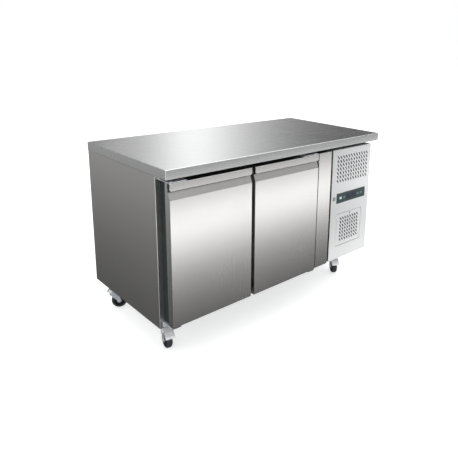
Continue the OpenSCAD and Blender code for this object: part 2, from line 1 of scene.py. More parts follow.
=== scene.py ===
import json
import math

import bmesh
import bpy
from mathutils import Matrix, Vector


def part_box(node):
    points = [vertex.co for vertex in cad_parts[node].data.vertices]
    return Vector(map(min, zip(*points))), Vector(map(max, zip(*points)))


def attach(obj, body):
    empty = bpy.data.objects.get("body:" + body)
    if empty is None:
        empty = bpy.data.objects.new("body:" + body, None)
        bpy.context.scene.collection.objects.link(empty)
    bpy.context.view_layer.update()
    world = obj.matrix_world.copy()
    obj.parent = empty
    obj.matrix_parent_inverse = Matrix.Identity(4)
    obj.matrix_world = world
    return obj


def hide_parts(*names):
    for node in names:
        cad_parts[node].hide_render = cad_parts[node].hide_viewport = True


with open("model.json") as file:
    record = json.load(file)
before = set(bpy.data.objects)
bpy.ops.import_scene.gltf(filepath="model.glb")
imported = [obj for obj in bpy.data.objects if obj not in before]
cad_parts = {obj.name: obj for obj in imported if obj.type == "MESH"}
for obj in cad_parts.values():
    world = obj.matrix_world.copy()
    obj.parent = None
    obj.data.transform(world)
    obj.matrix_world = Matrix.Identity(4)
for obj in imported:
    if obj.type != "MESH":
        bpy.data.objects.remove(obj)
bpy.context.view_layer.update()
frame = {"nodes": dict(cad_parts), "record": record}

# ---- Driving sizes, in metres ----
SHEET = 0.0012            # outer sheet metal
BEND = 0.0025             # outside radius of a folded edge
TOP_BEND = 0.0035         # outside radius of the worktop's long folds
WELD_R = 0.004            # rounding of the worktop's welded corners
RETURN_W = 0.018          # width of the worktop's lower return
HEM = 0.008               # height of the hem on that return
SIDE_FOLD = 0.025         # returns of the side panels
LIP_R = 0.008             # lower corners of the handle's lip
SCREW_R = 0.0042          # head of a sheet metal screw
SLOT_W = 0.0072           # width of the slanted air slots
SLOT_TILT = math.radians(-52)
FORK_TOP = 0.088          # crown of a castor's fork above the floor
FORK_GAP = 0.0145         # from the middle of a wheel to the fork's cheek
CHEEK_T = 0.0025          # thickness of that cheek
HINGE_T = 0.0025          # plates on which the service panel turns
LIP_H = 0.031             # height of a door's hanging lip
COIL_TUBE_R = 0.0046      # tube of both coils
CORNERS = [(sx, sy) for sx in (-1, 1) for sy in (-1, 1)]
CASTORS = ("front_left", "front_right", "rear_left", "rear_right")
SIDES = ("left", "right")
JOINTS = {joint["name"]: joint for joint in frame["record"]["behaviour"]["joints"]}
NODES = frame["nodes"]
SLOTS = {part["node"]: part["material_slot"] for part in frame["record"]["subparts"]}


# ---- Shader patterns ----
class Wire:
    """A shader value. Python's operators on it add Math nodes."""

    def __init__(self, paint, socket):
        self.paint = paint
        self.socket = socket

    def math(self, operation, other=None, first=None):
        values = {0: self if first is None else first}
        if other is not None:
            values[1] = other
        return self.paint.node("ShaderNodeMath", {"operation": operation}, values)

    def __add__(self, other):
        return self.math("ADD", other)

    def __sub__(self, other):
        return self.math("SUBTRACT", other)

    def __mul__(self, other):
        return self.math("MULTIPLY", other)

    def __truediv__(self, other):
        return self.math("DIVIDE", other)

    def __radd__(self, other):
        return self.math("ADD", other)

    def __rmul__(self, other):
        return self.math("MULTIPLY", other)

    def __rsub__(self, other):
        return self.math("SUBTRACT", self, first=other)

    def __gt__(self, other):
        return self.math("GREATER_THAN", other)

    def within(self, low, high):
        """0 at low and 1 at high, straight between them and flat outside."""
        return self.paint.node("ShaderNodeMapRange", {"clamp": True},
                               {"Value": self, "From Min": low, "From Max": high})


class Paint:
    """A node tree that is built with short calls."""

    def __init__(self, tree):
        self.tree = tree

    def node(self, kind, settings=None, values=None, output=0):
        node = self.tree.nodes.new(kind)
        settings = dict(settings or {})
        stops = settings.pop("stops", None)
        for name, value in settings.items():
            setattr(node, name, value)
        if stops:
            ramp = node.color_ramp
            for index, (place, colour) in enumerate(stops):
                stop = ramp.elements[index] if index < 2 else ramp.elements.new(place)
                stop.position = place
                stop.color = colour if len(colour) == 4 else (*colour, 1)
        for key, value in (values or {}).items():
            self.feed(node.inputs[key], value)
        return Wire(self, node.outputs[output])

    def feed(self, socket, value):
        if isinstance(value, Wire):
            self.tree.links.new(value.socket, socket)
        elif socket.type == "RGBA" and len(value) == 3:
            socket.default_value = (*value, 1)
        else:
            socket.default_value = value

    def place(self, stretch=(1, 1, 1)):
        """Object coordinates, in metres times stretch."""
        source = self.node("ShaderNodeTexCoord", output="Object")
        return self.node("ShaderNodeMapping", values={"Vector": source, "Scale": stretch})

    def axis(self, name):
        return self.node("ShaderNodeSeparateXYZ", values={0: self.place()}, output=name)

    def noise(self, scale, detail=2, stretch=(1, 1, 1)):
        return self.node("ShaderNodeTexNoise", values={
            "Vector": self.place(stretch), "Scale": scale, "Detail": detail})

    def cells(self, scale, stretch=(1, 1, 1), feature="F1", output="Distance"):
        return self.node("ShaderNodeTexVoronoi", {"feature": feature},
                         {"Vector": self.place(stretch), "Scale": scale}, output)

    def ramp(self, value, *stops):
        return self.node("ShaderNodeValToRGB", {"stops": stops}, {"Fac": value})

    def grey(self, value, *stops):
        return self.ramp(value, *[(place, (tone, tone, tone)) for place, tone in stops])

    def mix(self, factor, first, second, blend="MIX"):
        """Two colours mixed; the sockets 6 and 7 are the colour ones of a Mix node."""
        return self.node("ShaderNodeMix", {"data_type": "RGBA", "blend_type": blend},
                         {0: factor, 6: first, 7: second}, output=2)

    def bump(self, height, strength, distance=0.001):
        return self.node("ShaderNodeBump", values={
            "Height": height, "Strength": strength, "Distance": distance})


def finish(name, colour, roughness, normal=None, **fixed):
    """A material: colour, roughness and normal may be patterns, each a function of its Paint."""
    material = bpy.data.materials.new(name)
    material.use_nodes = True
    shader = material.node_tree.nodes["Principled BSDF"]
    paint = Paint(material.node_tree)
    for key, value in (("Base Color", colour), ("Roughness", roughness), ("Normal", normal)):
        if value is not None:
            paint.feed(shader.inputs[key], value(paint) if callable(value) else value)
    for key, value in fixed.items():
        paint.feed(shader.inputs[key.replace("_", " ")], value(paint) if callable(value) else value)
    return material


def uneven(base, scale, spread, detail=3):
    """Roughness that wanders a little round a base value."""
    return lambda paint: base + (paint.noise(scale, detail) - 0.5) * spread


def grained(scale, detail, strength, depth):
    """Relief of an even fine grain."""
    return lambda paint: paint.bump(paint.noise(scale, detail), strength, depth)


GRAIN = {"X": (2, 700, 700), "Y": (700, 2, 700), "Z": (700, 700, 2)}


def brushed_steel(name, grain, tone, roughness, shaded_foot=None):
    """Stainless sheet: fine brushed grain along one axis, wiping marks and, when given, painted shade
    that darkens its colour towards the foot.
    """

    def colour(paint):
        streaks = paint.noise(1.0, 4, GRAIN[grain])
        wiped = paint.noise(3.1, 3)
        shade = paint.mix(streaks.within(0.3, 0.7), [t * 0.97 for t in tone], tone)
        shade = paint.mix(wiped.within(0.35, 0.75) * 0.12, shade, [t * 0.88 for t in tone])
        # Painted shade: the colour darkens towards the foot, below the given heights.
        if shaded_foot:
            foot = paint.axis("Z").within(shaded_foot[0], shaded_foot[1])
            shade = paint.mix(1 - foot, shade, [t * shaded_foot[2] for t in tone])
        return shade

    def gloss(paint):
        streaks = paint.noise(1.0, 3, GRAIN[grain])
        wiped = paint.noise(4.7, 3)
        return roughness + (streaks - 0.5) * 0.05 + (wiped - 0.5) * 0.04

    def relief(paint):
        return paint.bump(paint.noise(1.6, 2, GRAIN[grain]), 0.02, 0.0001)

    return finish(name, colour, gloss, relief, Metallic=1.0)


def moulded(name, tone, roughness, grain_scale=900, strength=0.12, wear=0.0, **fixed):
    """Moulded plastic or rubber: leather-fine grain and faint dusty patches."""

    def colour(paint):
        patches = paint.noise(14, 4)
        return paint.mix(patches.within(0.4, 0.75) * (0.35 + wear), tone,
                         [t * (1.5 + wear * 4) + 0.004 for t in tone])

    return finish(name, colour, uneven(roughness, 35, 0.15),
                  grained(grain_scale, 2, strength, 0.0002), **fixed)


def painted(name, tone, roughness, peel=420, shade=0.9, coat=0.0):
    """Sprayed or powder-coated sheet with a fine orange peel."""

    def colour(paint):
        clouds = paint.noise(5, 3)
        return paint.mix(clouds.within(0.35, 0.7), tone, [t * shade for t in tone])

    return finish(name, colour, uneven(roughness, 9, 0.12), grained(peel, 1, 0.10, 0.0003),
                  Coat_Weight=coat)


def service_white():
    """The light panel: satin pale coating, with painted light that makes its colour lighter at its foot
    and towards its right end.
    """

    def colour(paint):
        clouds = paint.noise(4, 3)
        # Painted light: the colour brightens towards the right end and at the foot.
        along = paint.axis("X").within(0.30, 0.60)
        foot = 1 - paint.axis("Z").within(0.18, 0.50)
        pale = paint.mix(along, (0.64, 0.65, 0.655), (0.86, 0.87, 0.875))
        pale = paint.mix(foot * 0.7, pale, (0.86, 0.875, 0.875))
        return paint.mix(clouds.within(0.35, 0.7) * 0.5, pale, (0.74, 0.75, 0.755))

    def sheen(paint):
        return 0.15 + 0.5 * paint.axis("Z").within(0.22, 0.48)

    return finish("light_panel", colour, uneven(0.34, 8, 0.06), grained(650, 1, 0.05, 0.0002),
                  Metallic=sheen)


def flecks(scale, low, high, stretch=(1, 1, 1)):
    """Random cells in tones between two colours."""

    def colour(paint):
        cell = paint.cells(scale, stretch, output="Color")
        tone = paint.node("ShaderNodeSeparateColor", values={0: cell})
        return paint.mix(tone, low, high)

    return colour


def spangled():
    """Galvanised sheet: zinc crystals of slightly different greys."""
    return finish("galvanised", flecks(95, (0.50, 0.52, 0.54), (0.60, 0.62, 0.64)),
                  lambda paint: 0.38 + paint.noise(60, 3) * 0.22, Metallic=0.85)


def plated(name, tone, roughness, tint=(0.70, 0.74, 0.80), metallic=0.6):
    """Bright zinc plating with faint bluish clouds."""

    def colour(paint):
        return paint.mix(paint.noise(45, 3).within(0.35, 0.7), tone, tint)

    return finish(name, colour, uneven(roughness, 120, 0.16), grained(500, 2, 0.06, 0.0002),
                  Metallic=metallic)


def foamed(name, tone, scale, depth):
    """Foam: open or closed cells that show as little pits."""

    def colour(paint):
        return paint.mix(paint.cells(scale).within(0.1, 0.6), tone, [t * 0.72 for t in tone])

    def relief(paint):
        return paint.bump(paint.cells(scale), 0.5, depth)

    return finish(name, colour, uneven(0.85, 20, 0.1, 2), relief)


def chipboard():
    """Core board of the worktop: pressed chips of different browns."""
    stretch = (1, 1, 3)
    return finish("core_board", flecks(160, (0.50, 0.36, 0.20), (0.70, 0.55, 0.34), stretch),
                  lambda paint: 0.75 + paint.noise(40, 2) * 0.1,
                  lambda paint: paint.bump(paint.cells(160, stretch), 0.3, 0.0006))


def copper():
    """Drawn pipe with darker tarnished patches."""
    def colour(paint):
        tarnish = paint.noise(38, 4)
        return paint.ramp(tarnish, (0.35, (0.80, 0.42, 0.26)), (0.6, (0.60, 0.29, 0.17)),
                          (0.75, (0.34, 0.18, 0.12)))

    def gloss(paint):
        return 0.24 + paint.noise(38, 4) * 0.25

    return finish("copper", colour, gloss, Metallic=1.0)


def glass_window():
    """Smoked window of the display with faint fingerprints in its gloss."""

    def colour(paint):
        return paint.mix(paint.noise(30, 3), (0.010, 0.018, 0.030), (0.016, 0.026, 0.040))

    def gloss(paint):
        return 0.26 + paint.noise(70, 3).within(0.45, 0.8) * 0.14

    return finish("display_window", colour, gloss, Specular_IOR_Level=0.3)


STEEL = (0.82, 0.808, 0.795)
MATERIALS = {
    "brushed_top": brushed_steel("brushed_top", "X", (0.83, 0.835, 0.835), 0.27),
    "brushed_steel": brushed_steel("brushed_steel", "Z", (0.80, 0.79, 0.775), 0.30),
    # The doors' steel has painted shade: its colour darkens towards their foot.
    "door_steel": brushed_steel("door_steel", "Z", STEEL, 0.26, shaded_foot=(0.16, 0.5, 0.88)),
    "light_panel": service_white(),
    "galvanised": spangled(),
    "liner_steel": brushed_steel("liner_steel", "Z", (0.82, 0.825, 0.83), 0.36),
    "core_board": chipboard(),
    "foam": foamed("foam", (0.80, 0.70, 0.44), 520, 0.0006),
    "frame_plastic": moulded("frame_plastic", (0.008, 0.018, 0.018), 0.62),
    "gasket_rubber": moulded("gasket_rubber", (0.035, 0.042, 0.045), 0.55, 700, 0.2),
    "black_nylon": moulded("black_nylon", (0.012, 0.012, 0.014), 0.45),
    "fin_aluminium": brushed_steel("fin_aluminium", "Z", (0.84, 0.85, 0.86), 0.40),
    "motor_black": painted("motor_black", (0.035, 0.036, 0.040), 0.40),
    "fan_plastic": moulded("fan_plastic", (0.030, 0.030, 0.034), 0.40),
    "coated_wire": painted("coated_wire", (0.80, 0.81, 0.82), 0.30, 300, 0.94, 0.3),
    "zinc": plated("zinc", (0.86, 0.88, 0.90), 0.24, (0.74, 0.79, 0.84)),
    "pedal_zinc": plated("pedal_zinc", (0.94, 0.95, 0.96), 0.30, (0.86, 0.89, 0.91), 0.3),
    "lock_metal": plated("lock_metal", (0.40, 0.41, 0.39), 0.34, (0.30, 0.31, 0.30), 0.8),
    "compressor_paint": painted("compressor_paint", (0.020, 0.020, 0.022), 0.30, 260, 1.5, 0.2),
    "copper": copper(),
    "controller_black": moulded("controller_black", (0.014, 0.036, 0.038), 0.34, 1200, 0.06),
    "key_grey": moulded("key_grey", (0.11, 0.155, 0.155), 0.45, 900, 0.1),
    "key_pale": moulded("key_pale", (0.46, 0.58, 0.64), 0.40, 900, 0.1),
    "filter_foam": foamed("filter_foam", (0.014, 0.016, 0.018), 700, 0.0008),
    "tyre_rubber": moulded("tyre_rubber", (0.030, 0.038, 0.042), 0.50, 600, 0.3, 0.12),
    "display_window": glass_window(),
}


# ---- Mesh tools ----
def rounded(corners, radius, closed=True, steps=4):
    """The corners (a, b) or (a, b, own radius) with each one turned into an arc."""
    points = []
    count = len(corners)
    for i, corner in enumerate(corners):
        at = Vector(corner[:2])
        own = corner[2] if len(corner) > 2 else radius
        if own <= 0 or (not closed and i in (0, count - 1)):
            points.append(at)
            continue
        back = Vector(corners[i - 1][:2]) - at
        on = Vector(corners[(i + 1) % count][:2]) - at
        half = back.angle(on) / 2
        reach = min(own / math.tan(half), back.length * 0.48, on.length * 0.48)
        own = reach * math.tan(half)
        centre = at + (back.normalized() + on.normalized()).normalized() * (own / math.sin(half))
        first = (at + back.normalized() * reach - centre).normalized()
        last = (at + on.normalized() * reach - centre).normalized()
        points += [centre + first.slerp(last, k / steps) * own for k in range(steps + 1)]
    return points


PLACES = {"X": lambda a, b, c: (c, a, b),
          "Y": lambda a, b, c: (a, c, b),
          "Z": lambda a, b, c: (a, b, c)}


def outward(bm):
    """The same mesh with its faces turned to look out."""
    bmesh.ops.recalc_face_normals(bm, faces=bm.faces)
    return bm


def verts_of(geometry):
    return [g for g in geometry if isinstance(g, bmesh.types.BMVert)]


def prism(outline, axis, start, end):
    """A closed outline pulled along an axis. It is given in the two other axes, in their order."""
    bm = bmesh.new()
    face = bm.faces.new([bm.verts.new(PLACES[axis](a, b, start)) for a, b in outline])
    pulled = bmesh.ops.extrude_face_region(bm, geom=[face])["geom"]
    bmesh.ops.translate(bm, vec=PLACES[axis](0, 0, end - start), verts=verts_of(pulled))
    return outward(bm)


def bevel(bm, edges, radius, segments=3, clamp=True):
    bmesh.ops.bevel(bm, geom=list(edges), offset=radius, offset_type="OFFSET", segments=segments,
                    profile=0.5, affect="EDGES", material=-1, clamp_overlap=clamp)


def sharp_edges(bm, angle=30):
    return [e for e in bm.edges
            if len(e.link_faces) == 2 and e.calc_face_angle(0) > math.radians(angle)]


def rectangle(a0, a1, b0, b1):
    return [(a0, b0), (a1, b0), (a1, b1), (a0, b1)]


def plate(outline, axis, start, end, radius, segments=2, angle=60):
    """A prism between two places, in either order, with its sharp edges rounded."""
    bm = prism(outline, axis, min(start, end), max(start, end))
    bevel(bm, sharp_edges(bm, angle), radius, segments)
    return bm


def mirrored(profile):
    """A lathe profile below its middle, followed by the same above it."""
    return profile + [(radius, -height) for radius, height in reversed(profile)]


def block(low, high, radius=0.0, segments=3):
    """A box between two corners with every edge rounded."""
    low, high = Vector(low), Vector(high)
    bm = bmesh.new()
    bmesh.ops.create_cube(bm, size=1)
    bmesh.ops.scale(bm, vec=high - low, verts=bm.verts)
    bmesh.ops.translate(bm, vec=(low + high) / 2, verts=bm.verts)
    if radius:
        bevel(bm, bm.edges, radius, segments)
    return bm


def lathe(profile, segments=32):
    """A profile of (radius, height) turned round Z."""
    bm = bmesh.new()
    verts = [bm.verts.new((radius, 0, height)) for radius, height in profile]
    edges = [bm.edges.new(pair) for pair in zip(verts, verts[1:])]
    bmesh.ops.spin(bm, geom=verts + edges, cent=(0, 0, 0), axis=(0, 0, 1), angle=math.tau,
                   steps=segments, use_merge=True)
    bmesh.ops.remove_doubles(bm, verts=bm.verts, dist=1e-6)
    return outward(bm)


def moved(bm, matrix):
    bmesh.ops.transform(bm, matrix=matrix, verts=bm.verts)
    return bm


def facing(at, direction):
    """Takes +Z at the origin to a direction at a point."""
    turn = Vector(direction).to_track_quat("Z", "Y").to_matrix().to_4x4()
    return Matrix.Translation(at) @ turn


def joined(parts):
    """Several bmeshes as one, the parts freed."""
    whole = bmesh.new()
    for part in parts:
        mesh = bpy.data.meshes.new("part")
        part.to_mesh(mesh)
        part.free()
        whole.from_mesh(mesh)
        bpy.data.meshes.remove(mesh)
    return whole


def softened(node, radius, segments=2, angle=30):
    """A merged copy of a CAD node with its sharp edges rounded."""
    bm = bmesh.new()
    bm.from_mesh(NODES[node].data)
    bmesh.ops.remove_doubles(bm, verts=bm.verts, dist=1e-6)
    bmesh.ops.dissolve_limit(bm, angle_limit=math.radians(0.5), verts=bm.verts, edges=bm.edges)
    bevel(bm, sharp_edges(bm, angle), radius, segments)
    return bm


def sheet_metal(obj, thickness, edge=0.0003):
    """Gives a sheet its thickness inwards and breaks its cut edges."""
    solid = obj.modifiers.new("Thickness", "SOLIDIFY")
    solid.thickness = thickness
    solid.offset = -1
    rim = obj.modifiers.new("Deburred", "BEVEL")
    rim.width = edge
    rim.segments = 1
    rim.limit_method = "ANGLE"
    rim.angle_limit = math.radians(50)


def piece(bm, name, body, slot, nodes=(), material=None, smooth=40, thickness=0.0):
    """A finished piece on a body, in place of CAD nodes."""
    mesh = bpy.data.meshes.new(name)
    bm.to_mesh(mesh)
    bm.free()
    for polygon in mesh.polygons:
        polygon.use_smooth = True
    mesh.set_sharp_from_angle(angle=math.radians(smooth))
    obj = bpy.data.objects.new(name, mesh)
    bpy.context.collection.objects.link(obj)
    mesh.materials.append(MATERIALS[material or slot])
    if thickness:
        sheet_metal(obj, thickness)
    even = obj.modifiers.new("Even shading", "WEIGHTED_NORMAL")
    even.keep_sharp = True
    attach(obj, body)
    if nodes:
        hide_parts(*nodes)
    return obj


def point_outwards(bm, direction):
    """Turns an open sheet so that its largest face looks in a direction."""
    largest = max(bm.faces, key=lambda f: f.calc_area())
    if largest.normal.dot(Vector(direction)) < 0:
        bmesh.ops.reverse_faces(bm, faces=bm.faces)


def pulled_edges(bm, edges, shift):
    """Extrudes open edges; shift gives the step of each new point."""
    made = bmesh.ops.extrude_edge_only(bm, edges=edges)["geom"]
    for vert in verts_of(made):
        vert.co += Vector(shift(vert.co))
    return [g for g in made if isinstance(g, bmesh.types.BMEdge) and g.is_boundary]


def screw(at, direction, radius=SCREW_R):
    """Pan head with a conical dimple in its top."""
    head = lathe([(radius, 0), (radius, 0.0006), (radius * 0.85, 0.0016), (radius * 0.5, 0.0021),
                  (0, 0.0022)], 16)
    top = [v for v in head.verts if v.co.xy.length < 1e-6]
    bmesh.ops.translate(head, vec=(0, 0, -0.0009), verts=top)
    return moved(head, facing(at, direction))


def bolt_head(radius, height):
    """Hexagon head or nut with a turned chamfer, standing on Z = 0."""
    bm = bmesh.new()
    bmesh.ops.create_cone(bm, cap_ends=True, segments=6, radius1=radius, radius2=radius, depth=height)
    bmesh.ops.translate(bm, vec=(0, 0, height / 2), verts=bm.verts)
    rims = [e for e in bm.edges if abs(e.verts[0].co.z - e.verts[1].co.z) < 1e-7]
    bevel(bm, rims, radius * 0.12, 2)
    return bm


# ---- Worktop ----
def worktop():
    low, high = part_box("worktop_shell")
    bm = block(low, high)
    upright = [e for e in bm.edges if abs(e.verts[0].co.z - e.verts[1].co.z) > 0.01]
    bevel(bm, upright, WELD_R, 5)
    top = [e for e in bm.edges if min(v.co.z for v in e.verts) > high.z - 1e-6]
    bevel(bm, top, TOP_BEND, 4, clamp=False)
    bmesh.ops.delete(bm, geom=[f for f in bm.faces if f.normal.z < -0.9], context="FACES_ONLY")
    rim = [e for e in bm.edges if e.is_boundary]
    inner = [v - RETURN_W for v in (high.x, high.y)]

    def inwards(at):
        x, y = (max(-edge, min(edge, value)) for edge, value in zip(inner, at))
        return x - at.x, y - at.y, 0

    pulled_edges(bm, rim, inwards)
    bevel(bm, [e for e in bm.edges if not e.is_boundary and max(v.co.z for v in e.verts) < low.z + 1e-6
               and e.calc_face_angle(0) > 1], 0.002, 3)
    lower = [e for e in bm.edges if e.is_boundary]
    pulled_edges(bm, lower, lambda at: (0, 0, HEM))
    bmesh.ops.remove_doubles(bm, verts=bm.verts, dist=1e-5)
    point_outwards(bm, (0, 0, 1))
    piece(bm, "worktop_sheet", "cabinet", "brushed_top", ["worktop_shell"], thickness=SHEET,
          smooth=50)


# ---- Outer panels ----
def side_panel(side):
    node = f"side_panel_{side}"
    low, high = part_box(node)
    outer, way = (low.x, 1) if side == "left" else (high.x, -1)
    left_low, left_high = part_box("side_panel_left")
    path = rounded([(outer + way * SIDE_FOLD, left_low.y), (outer, left_low.y), (outer, high.y),
                    (outer + way * SIDE_FOLD, high.y)], BEND, closed=False)
    bm = bmesh.new()
    verts = [bm.verts.new((x, y, left_low.z)) for x, y in path]
    edges = [bm.edges.new(pair) for pair in zip(verts, verts[1:])]
    pulled_edges(bm, edges, lambda at: (0, 0, left_high.z - left_low.z))
    point_outwards(bm, (-way, 0, 0))
    piece(bm, f"side_sheet_{side}", "cabinet", "brushed_steel", [node], thickness=SHEET,
          smooth=60)


def service_hinges():
    """The two plates and pins on which the service panel turns."""
    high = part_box("side_panel_right")[1]
    panel_low, panel_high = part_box("service_panel")
    pin = Vector(JOINTS["service_panel_hinge"]["pos_m"])
    y1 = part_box("side_panel_left")[0].y
    parts = []
    for z, inwards in ((panel_high.z + 0.0016, -1), (panel_low.z - 0.0041, 1)):
        parts.append(block((high.x - 0.022, pin.y - 0.008, z),
                           (high.x - 0.0002, y1, z + HINGE_T), 0.0008))
        base = z if inwards < 0 else z + HINGE_T
        stud = lathe([(0, 0), (0.003, 0), (0.003, 0.008), (0.0024, 0.009), (0, 0.009)], 20)
        parts.append(moved(stud, facing((pin.x, pin.y, base), (0, 0, inwards))))
    piece(joined(parts), "service_panel_hinges", "cabinet", "zinc")


def cabinet_face():
    """Sheets that close the foam's front edges round the doors, and the worktop's underside; their dark
    colour is painted shade for the shadowed gaps there.
    """
    frame_low, frame_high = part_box("door_frame")
    foam_low, foam_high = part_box("cabinet_insulation")
    left, right = frame_low.x - 0.0003, foam_high.x - 0.0002
    low, high = frame_high.y + 0.00005, frame_high.y + 0.0008
    z0, z1 = foam_low.z + 0.0003, foam_high.z - 0.0002
    sill, head = frame_low.z + 0.03, frame_high.z - 0.03
    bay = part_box("side_panel_right")[0].x - 0.0002
    strips = [((left, z0), (right, sill)), ((left, head), (right, z1)),
              ((left, sill), (left + 0.015, head)), ((frame_high.x - 0.010, sill), (right, head)),
              ((right, head + 0.033), (bay, z1))]
    parts = [block((a[0], low, a[1]), (b[0], high, b[1]), 0.0002, 1) for a, b in strips]
    top_low, top_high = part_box("worktop_shell")
    inset = RETURN_W + 0.0025
    parts.append(block((top_low.x + inset, top_low.y + inset, top_low.z + 0.0004),
                       (top_high.x - inset, top_high.y - inset, top_low.z + 0.0012), 0.0002, 1))
    # Dark as painted shade: the gaps round the doors and under the worktop lie in shadow.
    piece(joined(parts), "cabinet_face", "cabinet", "frame_plastic")


def front_strip():
    piece(softened("front_strip", 0.0018, 3), "strip_cover", "cabinet", "brushed_steel",
          ["front_strip"], material="door_steel")


def rear_details():
    """Pressed hoods over the rear grille's slots, and the screws round the rear panels."""
    low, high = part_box("rear_grille")
    back_low, back_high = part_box("back_panel")
    hoods = []
    first, pitch, rise, length = low.x + 0.027, 0.134, 0.034, 0.118
    for column in range(2):
        for row in range(14):
            x0 = first + column * pitch
            z0 = 0.230 + row * rise
            hood = block((x0 - 0.003, high.y - 0.0008, z0 + 0.002),
                         (x0 + length + 0.003, high.y + 0.0042, z0 + 0.014))
            upper = [v for v in hood.verts if v.co.y > high.y and v.co.z > z0 + 0.01]
            bmesh.ops.translate(hood, vec=(0, -0.0036, 0), verts=upper)
            outer = [e for e in hood.edges if max(v.co.y for v in e.verts) > high.y + 0.0001]
            bevel(hood, outer, 0.0016, 2)
            hoods.append(hood)
    piece(joined(hoods), "rear_louvres", "cabinet", "galvanised")
    screws = []
    for x in (back_low.x + 0.012, (back_low.x + back_high.x) / 2, back_high.x - 0.012,
              high.x - 0.010):
        for z in (back_low.z + 0.02, (back_low.z + back_high.z) / 2, back_high.z - 0.02):
            screws.append(screw((x, high.y, z), (0, 1, 0)))
    piece(joined(screws), "rear_screws", "cabinet", "zinc")


# ---- Doors ----
def door_outline(low, high):
    """The door's section in Y and Z: pan, slanted finger recess, and the lip that hangs over it."""
    front, back = low.y, high.y
    lip_t = 0.0014
    recess_d, recess_h = 0.018, 0.067
    return [(back, low.z, 0.0006), (front, low.z, BEND), (front, high.z - recess_h, 0.004),
            (front + recess_d, high.z - 0.027, 0.002), (front + recess_d, high.z - lip_t, 0.0015),
            (front + lip_t, high.z - lip_t, 0.0010), (front + lip_t, high.z - LIP_H, 0.0005),
            (front, high.z - LIP_H, 0.0005), (front, high.z, BEND), (back, high.z, 0.0006)]


def door_skin(side):
    """Door pan: its lip has round lower corners, and its back edges stand on the inner tray."""
    low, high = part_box(f"door_{side}_skin")
    bm = prism(rounded(door_outline(low, high), 0.001), "X", low.x, high.x)
    lip_z = high.z - LIP_H
    steps = 5
    cuts = [LIP_R * (1 - math.cos(math.pi / 2 * k / steps)) for k in range(1, steps + 1)]
    for cut in cuts + [0.012]:
        for x in (low.x + cut, high.x - cut):
            bmesh.ops.bisect_plane(bm, geom=bm.verts[:] + bm.edges[:] + bm.faces[:],
                                   plane_co=(x, 0, 0), plane_no=(1, 0, 0))
    for vert in bm.verts:
        reach = max(0, min(vert.co.x - low.x, high.x - vert.co.x))
        if reach < LIP_R and vert.co.y < low.y + 0.0016 and abs(vert.co.z - lip_z) < 0.0007:
            vert.co.z += LIP_R - math.sqrt(LIP_R ** 2 - (LIP_R - reach) ** 2)
    upright = [e for e in bm.edges if e.calc_face_angle(0) > 1.2 and len(e.link_faces) == 2
               and all(min(abs(v.co.x - low.x), abs(v.co.x - high.x)) < 1e-6 for v in e.verts)
               and all(v.co.y < low.y + 0.0185 and v.co.z < high.z - 0.0275 for v in e.verts)
               and not all(abs(v.co.y - low.y) < 0.0016 and v.co.z > lip_z - 0.001 for v in e.verts)]
    bevel(bm, upright, 0.0028, 3)
    back = [f for f in bm.faces if f.normal.y > 0.9 and f.calc_center_median().y > high.y - 1e-4]
    bmesh.ops.inset_region(bm, faces=back, thickness=SHEET, use_boundary=True)
    sunk = bmesh.ops.extrude_face_region(bm, geom=back)["geom"]
    bmesh.ops.delete(bm, geom=back, context="FACES_ONLY")
    bmesh.ops.translate(bm, vec=(0, -0.0014, 0), verts=verts_of(sunk))
    outward(bm)
    piece(bm, f"door_{side}_pan", f"door_{side}", "door_steel", [f"door_{side}_skin"], smooth=32)


def door_gasket(side):
    """Bellows section carried round the door, with mitred corners."""
    low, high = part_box(f"door_{side}_gasket")
    half, depth = 0.0094, high.y - low.y
    right = [(half, 0, 0.0006), (half, 0.0025, 0.0006), (0.0052, 0.0034, 0.0009),
             (0.0078, 0.0055, 0.0012), (0.0052, 0.0076, 0.0012), (half - 0.0004, 0.0094, 0.0010),
             (half - 0.0004, depth, 0.0014)]
    left = [(-u, v, r) for u, v, r in reversed(right)]
    section = rounded(left[-1:] + right + left[:-1], 0.001, steps=2)
    middle = (low + high) / 2
    size = (high - low) / 2
    bm = bmesh.new()
    loops = []
    for sx, sz in ((-1, -1), (1, -1), (1, 1), (-1, 1)):
        ring = [bm.verts.new((middle.x + sx * (size.x - half + u), low.y + v,
                              middle.z + sz * (size.z - half + u))) for u, v in section]
        loops.append([bm.edges.new((ring[i - 1], ring[i])) for i in range(len(ring))])
    for i in range(4):
        bmesh.ops.bridge_loops(bm, edges=loops[i - 1] + loops[i])
    outward(bm)
    piece(bm, f"door_{side}_seal", f"door_{side}", "gasket_rubber", [f"door_{side}_gasket"])


def door(side):
    door_skin(side)
    door_gasket(side)
    body = f"door_{side}"
    piece(softened(f"{body}_inner", 0.0011, 3), f"{body}_tray", body, "liner_steel",
          [f"{body}_inner"])
    piece(softened(f"{body}_fittings", 0.0007), f"{body}_end_blocks", body, "black_nylon",
          [f"{body}_fittings"])


def hinges():
    """Rounded plates and pins, with a domed head on each pin above and below each door."""
    piece(softened("hinge_brackets", 0.0007), "hinge_plates", "cabinet", "zinc", ["hinge_brackets"])
    parts = []
    for side in SIDES:
        pin = Vector(JOINTS[f"door_{side}_hinge"]["pos_m"])
        low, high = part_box(f"door_{side}_skin")
        for z, way in ((high.z + 0.0048, 1), (low.z - 0.0056, -1)):
            button = lathe([(0, 0.0024), (0.004, 0.0021), (0.0062, 0.0010), (0.0066, 0), (0, 0)], 24)
            parts.append(moved(button, facing((pin.x, pin.y, z), (0, 0, way))))
    piece(joined(parts), "hinge_pin_heads", "cabinet", "zinc")


# ---- Service panel, flap and controller ----
def rounded_loop(bm, x0, x1, z0, z1, y, radius, steps=3):
    """Edges of a rounded rectangle that stands at y."""
    points = rounded(rectangle(x0, x1, z0, z1), radius, steps=steps)
    verts = [bm.verts.new((x, y, z)) for x, z in points]
    return [bm.edges.new((verts[i - 1], verts[i])) for i in range(len(verts))]


